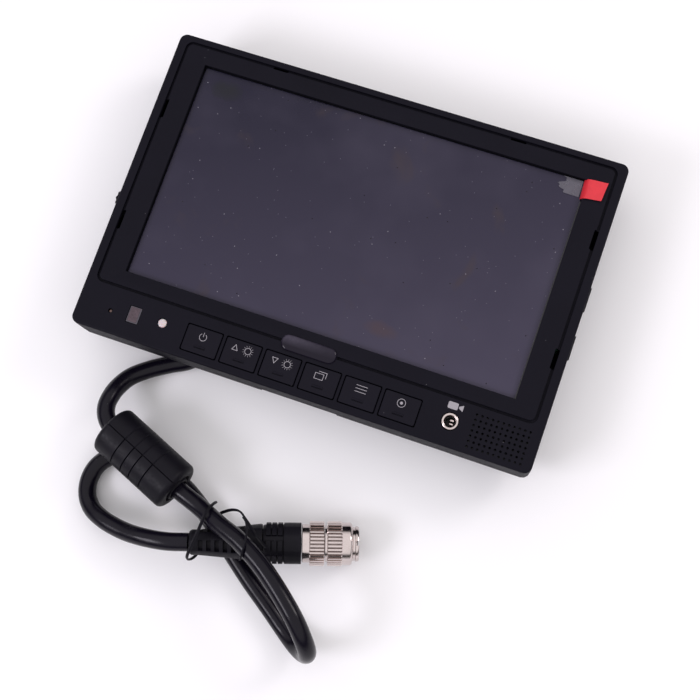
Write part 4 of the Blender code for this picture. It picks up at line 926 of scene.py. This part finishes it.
def make_bezel():
    """The front shell in one skin: face, rounded edge, walls, groove, sloped surround and openings."""
    bm = bmesh.new()
    size = (2 * HALF_W, 2 * HALF_H)

    def shell(inset):
        return rounded((0, 0), (size[0] - 2 * inset, size[1] - 2 * inset), max(CORNER_R - inset, 0.0008), 8)

    levels = [(shell(TOP_EDGE * (1 - rise)), FACE_Z - TOP_EDGE * (1 - run)) for rise, run in quarter(6)]
    levels += [(shell(0.0), PART_Z + 0.0002), (shell(0.0001), PART_Z + 0.00006), (shell(0.0002), PART_Z),
               (shell(WALL), PART_Z), (shell(WALL), SKIN_Z)]
    outside = add_wall(bm, levels)
    holes = [add_wall(bm, rim_levels(loop, -1, FACE_Z, SKIN_Z, edge, 3)) for loop, edge in strip_openings()]
    half, edge = GROOVE_W / 2, 0.0002
    floor = FACE_Z - GROOVE_D
    groove_out = add_wall(bm, rim_levels(groove_loop(-half), -1, FACE_Z, floor, edge, 3))
    groove_in = add_wall(bm, rim_levels(groove_loop(half), 1, FACE_Z, floor, edge, 3))
    bridge(bm, groove_out[-1], groove_in[-1])
    wide = (OPENING[0] + 2 * SLOPE_W, OPENING[1] + 2 * SLOPE_W)
    middle = (0.0, SCREEN_Y)
    slope = add_wall(bm, [(rounded(middle, wide, 0.0001, 1), FACE_Z),
                          (rounded(middle, OPENING, 0.0001, 1), FACE_Z - SLOPE_D),
                          (rounded(middle, OPENING, 0.0001, 1), SKIN_Z)])
    fill(bm, [outside[0], groove_out[0]] + [hole[0] for hole in holes])
    fill(bm, [groove_in[0], slope[0]])
    fill(bm, [outside[-1], slope[-1]] + [hole[-1] for hole in holes])

    cutters = []
    deep, proud = SKIN_Z - 0.001, FACE_Z + 0.001
    for side in (-1, 1):
        y = GROOVE_Y[1] - (TOP_SLOT_W - GROOVE_W) / 2
        cutters.append(block(side * TOP_SLOT_X, y, 0.0031, TOP_SLOT_W / 2, deep, proud, 0.0002, steps=1))
        for y in SIDE_SLOT_Y:
            x = side * (GROOVE_X - (SLOT_W - GROOVE_W) / 2)
            cutters.append(block(x, y, SLOT_W / 2, 0.0039, deep, proud, 0.0002, steps=1))
    cutters.append(block(-HALF_W + 0.001, WHEEL_Y, 0.002, 0.0064, 0.0220, 0.0252, 0.0001, steps=1))
    for y in SIDE_KEY_Y:
        cutters.append(block(HALF_W - 0.001, y, 0.002, 0.0049, 0.0202, 0.0238, 0.0001, steps=1))
    mesh = carved_by(finish_mesh(bm, "bezel"), joined(*cutters))
    return piece("bezel", mesh, "case", "front_bezel", smooth=30)


def refined(node, mat, body="monitor", smooth=34, edge=0.0):
    """A smooth-shaded copy of a frame part, with its edges eased, that stands for it."""
    bm = bmesh.new()
    bm.from_mesh(NODES[node].data)
    bmesh.ops.remove_doubles(bm, verts=bm.verts, dist=2e-6)
    bmesh.ops.dissolve_limit(bm, angle_limit=radians(0.6), verts=bm.verts, edges=bm.edges)
    if edge:
        sharp = [e for e in bm.edges if len(e.link_faces) == 2 and e.calc_face_angle() > radians(50)]
        bmesh.ops.bevel(bm, geom=sharp, offset=edge, segments=2, profile=0.5, affect="EDGES",
                        clamp_overlap=True)
    return piece(node + "_shape", finish_mesh(bm, node), mat, node, body, smooth)


def make_back():
    """Rear shell, mounting plate, screws and gland."""
    refined("rear_cover", "case")
    refined("mount_plate", "steel", edge=0.00015)
    refined("cable_gland", "mould", edge=0.00015)
    for number in range(1, 7):
        make_screw(number)


def make_screw(number):
    """Pan head with a cross recess over a case screw."""
    node = f"case_screw_{number}"
    low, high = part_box(node)
    centre = ((low.x + high.x) / 2, (low.y + high.y) / 2)
    top = low.z
    bm = bmesh.new()
    arm, reach = 0.00036, 0.0013
    cross, quadrant = [], [(arm, arm), (reach, arm), (reach, -arm)]
    for _ in range(4):
        cross += quadrant
        quadrant = [(y, -x) for x, y in quadrant]
    cross = [(centre[0] + x, centre[1] + y) for x, y in cross[::-1]]
    outline = [(0.0014 + 0.0011 * rise, top + 0.0007 * (1 - run)) for rise, run in quarter(5)]
    outline += [(0.0025, top + 0.0013), (0.001, top + 0.0014), (0.001, high.z - 0.001), (0.0003, high.z)]
    levels = [(ngon(centre, radius, 28), z) for radius, z in outline]
    rings = add_wall(bm, levels)
    recess = add_wall(bm, [(cross, top), (offset(cross, 0.00012), top + 0.0008)])
    fill(bm, [rings[0], recess[0]])
    fill(bm, [recess[-1]])
    bm.faces.new(rings[-1])
    return piece(node + "_shape", finish_mesh(bm, node), "screw", node, smooth=35)


def grid_rim(grid):
    """The border of a grid of vertices, once round."""
    ends, starts = [line[-1] for line in grid[:-1]], [line[0] for line in grid[:0:-1]]
    return grid[0][:-1] + ends + grid[-1][:0:-1] + starts


def grid_faces(bm, grid):
    """Quads over a grid of vertices."""
    for one, two in zip(grid, grid[1:]):
        for j in range(len(one) - 1):
            bm.faces.new((one[j], one[j + 1], two[j + 1], two[j]))


def make_screen():
    """Film with faint waves over the glass, the tape and the red pull tab."""
    low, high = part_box("protective_film")
    columns, rows = 60, 36
    rng = random.Random(7)
    waves = [(rng.uniform(20, 90), rng.uniform(20, 90), rng.uniform(0, 6.28)) for _ in range(6)]
    bm = bmesh.new()
    grid = []
    for j in range(rows + 1):
        line = []
        for i in range(columns + 1):
            x = low.x + (high.x - low.x) * i / columns
            y = low.y + (high.y - low.y) * j / rows
            fade = min(1.0, 8 * i / columns, 8 * (1 - i / columns), 8 * j / rows, 8 * (1 - j / rows))
            ripple = sum(sin(a * x + b * y + c) for a, b, c in waves) * 0.000006 * fade
            line.append(bm.verts.new((x, y, high.z - 0.00003 + ripple)))
        grid.append(line)
    grid_faces(bm, grid)
    rim = grid_rim(grid)
    lower = [bm.verts.new((v.co.x, v.co.y, low.z)) for v in rim]
    bridge(bm, rim, lower)
    bm.faces.new(lower)
    piece("screen_film", finish_mesh(bm, "film"), "film", "protective_film")
    make_tape()
    make_tab()


def make_tape():
    """Clear tape with a torn end, under the pull tab."""
    rng = random.Random(3)
    low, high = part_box("pull_tab_tape")
    torn = []
    for k in range(13):
        y = high.y - (high.y - low.y) * k / 12
        torn.append((low.x + 0.0026 + rng.uniform(-0.0007, 0.0007) + 0.0012 * sin(k * 0.7), y))
    outline = torn + [(high.x, low.y), (high.x, high.y)]
    mesh = plate(outline, [], low.z, high.z + 0.00004, 0.00002, 1)
    piece("tape", mesh, "tape", "pull_tab_tape", smooth=0)


def make_tab():
    """Red pull tab: stuck to the film, up over the bezel's edge, with a slight curl."""
    near, far = 0.0768, 0.0857
    path = ((0.0, 0.0268), (0.06, 0.0277), (0.13, 0.0287), (0.24, 0.02925), (0.4, 0.0295), (0.6, 0.02952),
            (0.8, 0.02957), (1.0, 0.02975))
    bm = bmesh.new()
    rows = 8
    sheets = []
    for lift in (0.0, 0.00014):
        sheet = []
        for share, z in path:
            line = []
            for j in range(rows + 1):
                v = j / rows
                lower = 0.0438 + 0.0008 * share
                upper = 0.0516 + 0.0004 * share
                x = near + (far - near) * share - 0.0006 * (1 - v) * share + 0.0004 * (1 - share) * (1 - v)
                curl = 0.00025 * cos(pi * (v - 0.5)) * share
                line.append(bm.verts.new((x, lower + (upper - lower) * v, z + lift + curl)))
            sheet.append(line)
        sheets.append(sheet)
    for sheet in sheets:
        grid_faces(bm, sheet)
    bridge(bm, *[grid_rim(sheet) for sheet in sheets])
    piece("red_tab", finish_mesh(bm, "tab"), "red", "pull_tab", smooth=50,
          weighted=False)


# ------------------------------------------------------------------ controls

def icon(name, strokes, body, z, width=0.0003, centre=(0.0, 0.0)):
    """Printed pictogram: drawn lines and filled shapes in one thin piece."""
    parts = []
    for points, kind in strokes:
        points = [(centre[0] + x * MM, centre[1] + y * MM) for x, y in points]
        if kind == "fill":
            outer, holes = points, []
        else:
            outer, holes = stroke(points, width, kind == "loop")
        parts.append(plate(outer, holes, z - 0.00002, z + 0.00002))
    return piece(name, joined(*parts), "print", body=body, smooth=0)


def circle(x, y, r, sides=28):
    """Points of a circle in millimetres."""
    return ngon((x, y), r, sides)


def sun(x, y):
    """Ring with thirteen short rays."""
    shapes = [(circle(x, y, 1.22), "loop")]
    for ray in range(13):
        a = 2 * pi * (ray + 0.3) / 13
        side = 0.055
        shapes.append(([(x + 1.62 * cos(a - side), y + 1.62 * sin(a - side)),
                        (x + 2.3 * cos(a), y + 2.3 * sin(a)),
                        (x + 1.62 * cos(a + side), y + 1.62 * sin(a + side))], "fill"))
    return shapes


def arc(x, y, r, start, end, steps=20):
    """Points of an arc in millimetres, with angles in degrees."""
    return [(x + r * cos(radians(start + (end - start) * i / steps)),
             y + r * sin(radians(start + (end - start) * i / steps))) for i in range(steps + 1)]


def key_icons():
    """Pictogram of each front key, about the key's middle."""
    return {
        "power_key": [(arc(0, 1.6, 1.4, 125, 415), "line"), ([(0, 1.8), (0, 3.4)], "line")],
        "up_key": [([(-3.9, 0.9), (-1.7, 0.9), (-2.8, 3.0)], "loop")] + sun(2.3, 1.9),
        "down_key": [([(-3.9, 3.0), (-2.8, 0.9), (-1.7, 3.0)], "loop")] + sun(2.3, 1.9),
        "channel_key": [([(-2.4, 0.4), (0.9, 0.4), (0.9, 2.6), (-2.4, 2.6)], "loop"),
                        ([(-1.2, 3.4), (1.9, 3.4), (1.9, 1.3)], "line")],
        "menu_key": [([(-2.1, 3.1), (2.1, 3.1)], "line"), ([(-2.1, 1.9), (2.1, 1.9)], "line"),
                     ([(-2.1, 0.7), (2.1, 0.7)], "line")],
        "select_key": [(circle(0, 1.8, 1.55), "loop"), (circle(0, 1.8, 0.55, 18), "fill")],
    }


def make_keys():
    """Front keys: a rounded cap with a small raised bar, flange, stem and pictogram."""
    icons = key_icons()
    for i, name in enumerate(KEY_NAMES):
        x, y = key_place(i)
        w, h = KEY_CAP[0] / 2 - 0.00008, KEY_CAP[1] / 2 - 0.00008
        cap = block(x, y, w, h, 0.0266, KEY_TOP_Z, 0.0006, 0.00028, 5)
        flange = block(x, y, w + 0.0005, h + 0.0005, 0.0261, 0.02665, 0.0008, 0.0001, 2)
        stem = plate(ngon((x, y), 0.0016, 20), [], 0.0262, 0.0243)
        groove = block(x, y - 0.0029, BAR_HALF, 0.0002, KEY_TOP_Z - 0.0004, KEY_TOP_Z + 0.001,
                       0.00015, 0.0, 2)
        cap = carved_by(cap, groove)
        bar = block(x, y - 0.002325, BAR_HALF, 0.000325, KEY_TOP_Z - 0.0002, KEY_TOP_Z + 0.00022, 0.0003,
                    0.00018)
        piece(name + "_cap", joined(cap, flange, stem, bar), "key", name, name, smooth=34)
        icon(name + "_icon", icons[name], name, KEY_TOP_Z + 0.00002, 0.0002, (x, y))


def make_side_controls():
    """Side keys and thumbwheel."""
    for name in ("upper_side_key", "lower_side_key"):
        refined(name, "key", name, edge=0.00015)
    refined("volume_wheel", "key", "volume_wheel")


def make_lenses():
    """Infrared window and its pale rim, indicator lens, pinhole and the long key-light lens."""
    x, y = IR_WINDOW
    w, h = IR_SIZE[0] / 2, IR_SIZE[1] / 2
    window = soft_box((x - w + 0.0004, y - h + 0.0005, 0.0284), (x + w - 0.0006, y + h - 0.0003, 0.02893),
                      0.0003, 0.0001, steps=3)
    piece("ir_pane", window, "smoke", "ir_window")
    outer = rounded(IR_WINDOW, (IR_SIZE[0] - 0.0001, IR_SIZE[1] - 0.0001), 0.00025, 3)
    inner = rounded((x - 0.0001, y + 0.0001), (IR_SIZE[0] - 0.0011, IR_SIZE[1] - 0.0009), 0.0002, 3)
    piece("ir_pane_rim", plate(outer, [inner], 0.0283, 0.02885, 0.00008, 2), "rim")
    profile = [(0.0024, 0.0259), (0.0024, 0.0268), (LENS_R, 0.0268)]
    for k in range(7):
        angle = pi / 2 * k / 6
        profile.append((LENS_R * cos(angle * 0.97), 0.0286 + 0.0005 * sin(angle)))
    lens = turned(profile, 32, Matrix.Translation((*LENS, 0.0)))
    piece("indicator_dome", lens, "milk", "indicator_lens")
    profile = [(0.0007, 0.0268), (0.0007, 0.0281), (0.0005, 0.0284), (0.0002, 0.0285)]
    spot = turned(profile, 18, Matrix.Translation((PINHOLE[0] + 0.0001, PINHOLE[1] - 0.0001, 0.0)))
    piece("pinhole_sensor", spot, "brown")
    make_bar()


def make_bar():
    """Long lens with a domed top, in a thin seat."""
    half = BAR_SIZE[1] / 2
    loops = []
    levels = [(0.0, 0.0283), (0.0, 0.0292)]
    levels += [(0.0019 * (1 - run), 0.0292 + 0.0008 * rise) for rise, run in quarter(8)[1:]]
    for inset, z in levels:
        size = (BAR_SIZE[0] - 2 * inset, BAR_SIZE[1] - 2 * inset)
        loops.append([(x, y, z) for x, y in rounded(BAR, size, half - inset - 0.0003, 8)])
    piece("key_light_bar", loft(loops), "gloss", "key_light_lens", smooth=50)
    seat = rounded(BAR, (BAR_SIZE[0] + 0.0008, BAR_SIZE[1] + 0.0008), half + 0.0001, 8)
    hole = rounded(BAR, (BAR_SIZE[0] - 0.0002, BAR_SIZE[1] - 0.0002), half - 0.0004, 8)
    piece("key_light_seat", plate(seat, [hole], 0.0283, 0.02855, 0.0001, 2), "case")


def make_jack():
    """Jack: bright ring, dark bore and two contact springs, with a pictogram above."""
    profile = [(0.0032, SKIN_Z), (0.0032, FACE_Z + 0.0001)]
    for k in range(9):
        angle = pi * k / 8
        profile.append((0.0027 + 0.0005 * cos(angle), FACE_Z + 0.0001 + 0.0004 * sin(angle)))
    profile += [(0.0021, FACE_Z - 0.0008), (0.0020, FACE_Z - 0.0012), (0.0020, SKIN_Z)]
    ring = turned(profile, 48, Matrix.Translation((*JACK, 0.0)), closed=True)
    piece("jack_ring", ring, "nickel", "av_jack_ring", smooth=40)
    x, y = JACK
    springs = [soft_box((x - 0.0002, y + 0.00035, 0.0232), (x + 0.0013, y + 0.0011, 0.0270), 0.0002, 0.0002),
               soft_box((x - 0.0001, y - 0.0010, 0.0232), (x + 0.0014, y - 0.00035, 0.0272), 0.0002, 0.0002)]
    piece("jack_springs", joined(*springs), "nickel", "av_jack_contact")
    box = rounded((-1.0, 0.0), (3.8, 2.6), 0.5, 4)
    horn = [(1.3, -0.35), (2.9, -1.2), (2.9, 1.2), (1.3, 0.35)]
    icon("jack_icon", [(box, "fill"), (horn, "fill")], "monitor", FACE_Z + 0.00001,
         centre=(JACK[0] + 0.0003, JACK[1] + 0.0059))


def dress_frame():
    """Materials for the frame parts that show as they are."""
    looks = {
        "lcd_tray": "steel", "backlight_unit": "white", "lcd_panel": "panel", "screen_gasket": "foam",
        "key_board": "board", "side_key_board": "board", "main_board": "board", "volume_pot": "chip",
        "ir_receiver": "chip", "indicator_led": "milk", "av_jack_body": "chip", "speaker": "chip",
        "ferrite_core": "ferrite",
    }
    looks.update({f"board_screw_{i}": "screw" for i in range(1, 5)})
    for name, mat in looks.items():
        data = NODES[name].data
        data.materials.clear()
        data.materials.append(M[mat])


make_bezel()
make_back()
make_screen()
make_keys()
make_side_controls()
make_lenses()
make_jack()
dress_frame()


# ------------------------------------------------------------------ stage

def area_light(name, size, power, place, colour=(1.0, 1.0, 1.0)):
    """Soft square lamp that faces the middle of the model."""
    data = bpy.data.lights.new(name, "AREA")
    data.shape = "RECTANGLE"
    data.size, data.size_y = size
    data.energy = power
    data.color = colour
    lamp = add_object(name, data)
    target = Vector((0.0, -0.04, 0.01))
    lamp.location = target + place
    lamp.rotation_mode = "QUATERNION"
    lamp.rotation_quaternion = (-place).to_track_quat("-Z", "Y")


def make_world():
    """A broad soft light overhead, a dark band below it and a pale horizon."""
    world = bpy.data.worlds.new("studio")
    world.use_nodes = True
    tree = world.node_tree
    place = tree.nodes.new("ShaderNodeTexCoord")
    split = tree.nodes.new("ShaderNodeSeparateXYZ")
    fade = tree.nodes.new("ShaderNodeValToRGB")
    fade.color_ramp.interpolation = "EASE"
    levels = ((0.0, 0.5), (0.10, 0.5), (0.20, 0.05), (0.30, 0.07), (0.62, 1.0))
    for k, (place_on_ramp, level) in enumerate(levels):
        stop = fade.color_ramp.elements[k] if k < 2 else fade.color_ramp.elements.new(place_on_ramp)
        stop.position = place_on_ramp
        stop.color = (level, level, level, 1.0)
    strength = tree.nodes.new("ShaderNodeMath")
    strength.operation = "MULTIPLY"
    strength.inputs[1].default_value = 1.12
    back = tree.nodes["Background"]
    back.inputs["Color"].default_value = (1.0, 0.97, 0.99, 1.0)
    tree.links.new(place.outputs["Generated"], split.inputs["Vector"])
    tree.links.new(split.outputs["Z"], fade.inputs["Fac"])
    tree.links.new(fade.outputs["Color"], strength.inputs[0])
    tree.links.new(strength.outputs["Value"], back.inputs["Strength"])
    bpy.context.scene.world = world


def make_stage():
    """Pale floor, even surroundings and soft studio lamps."""
    bm = bmesh.new()
    bmesh.ops.create_grid(bm, x_segments=1, y_segments=1, size=4.0)
    floor = add_object("floor", finish_mesh(bm, "floor"))
    pale = Surface("floor_white", (0.86, 0.86, 0.87), 0.9, Specular_IOR_Level=0.1)
    floor.data.materials.append(pale.mat)
    floor.location.z = -0.00002
    make_world()
    area_light("left_lamp", (0.45, 0.3), 4.2, VIEW_RIGHT * -0.8 - VIEW_UP * 0.2 + VIEW_BACK * 0.7,
               (0.94, 0.90, 1.0))
    area_light("right_lamp", (0.35, 0.35), 2.6, VIEW_RIGHT * 0.75 + VIEW_UP * 0.5 + VIEW_BACK * 0.6,
               (1.0, 0.93, 0.95))
    bpy.context.scene.view_settings.view_transform = "Standard"


make_stage()
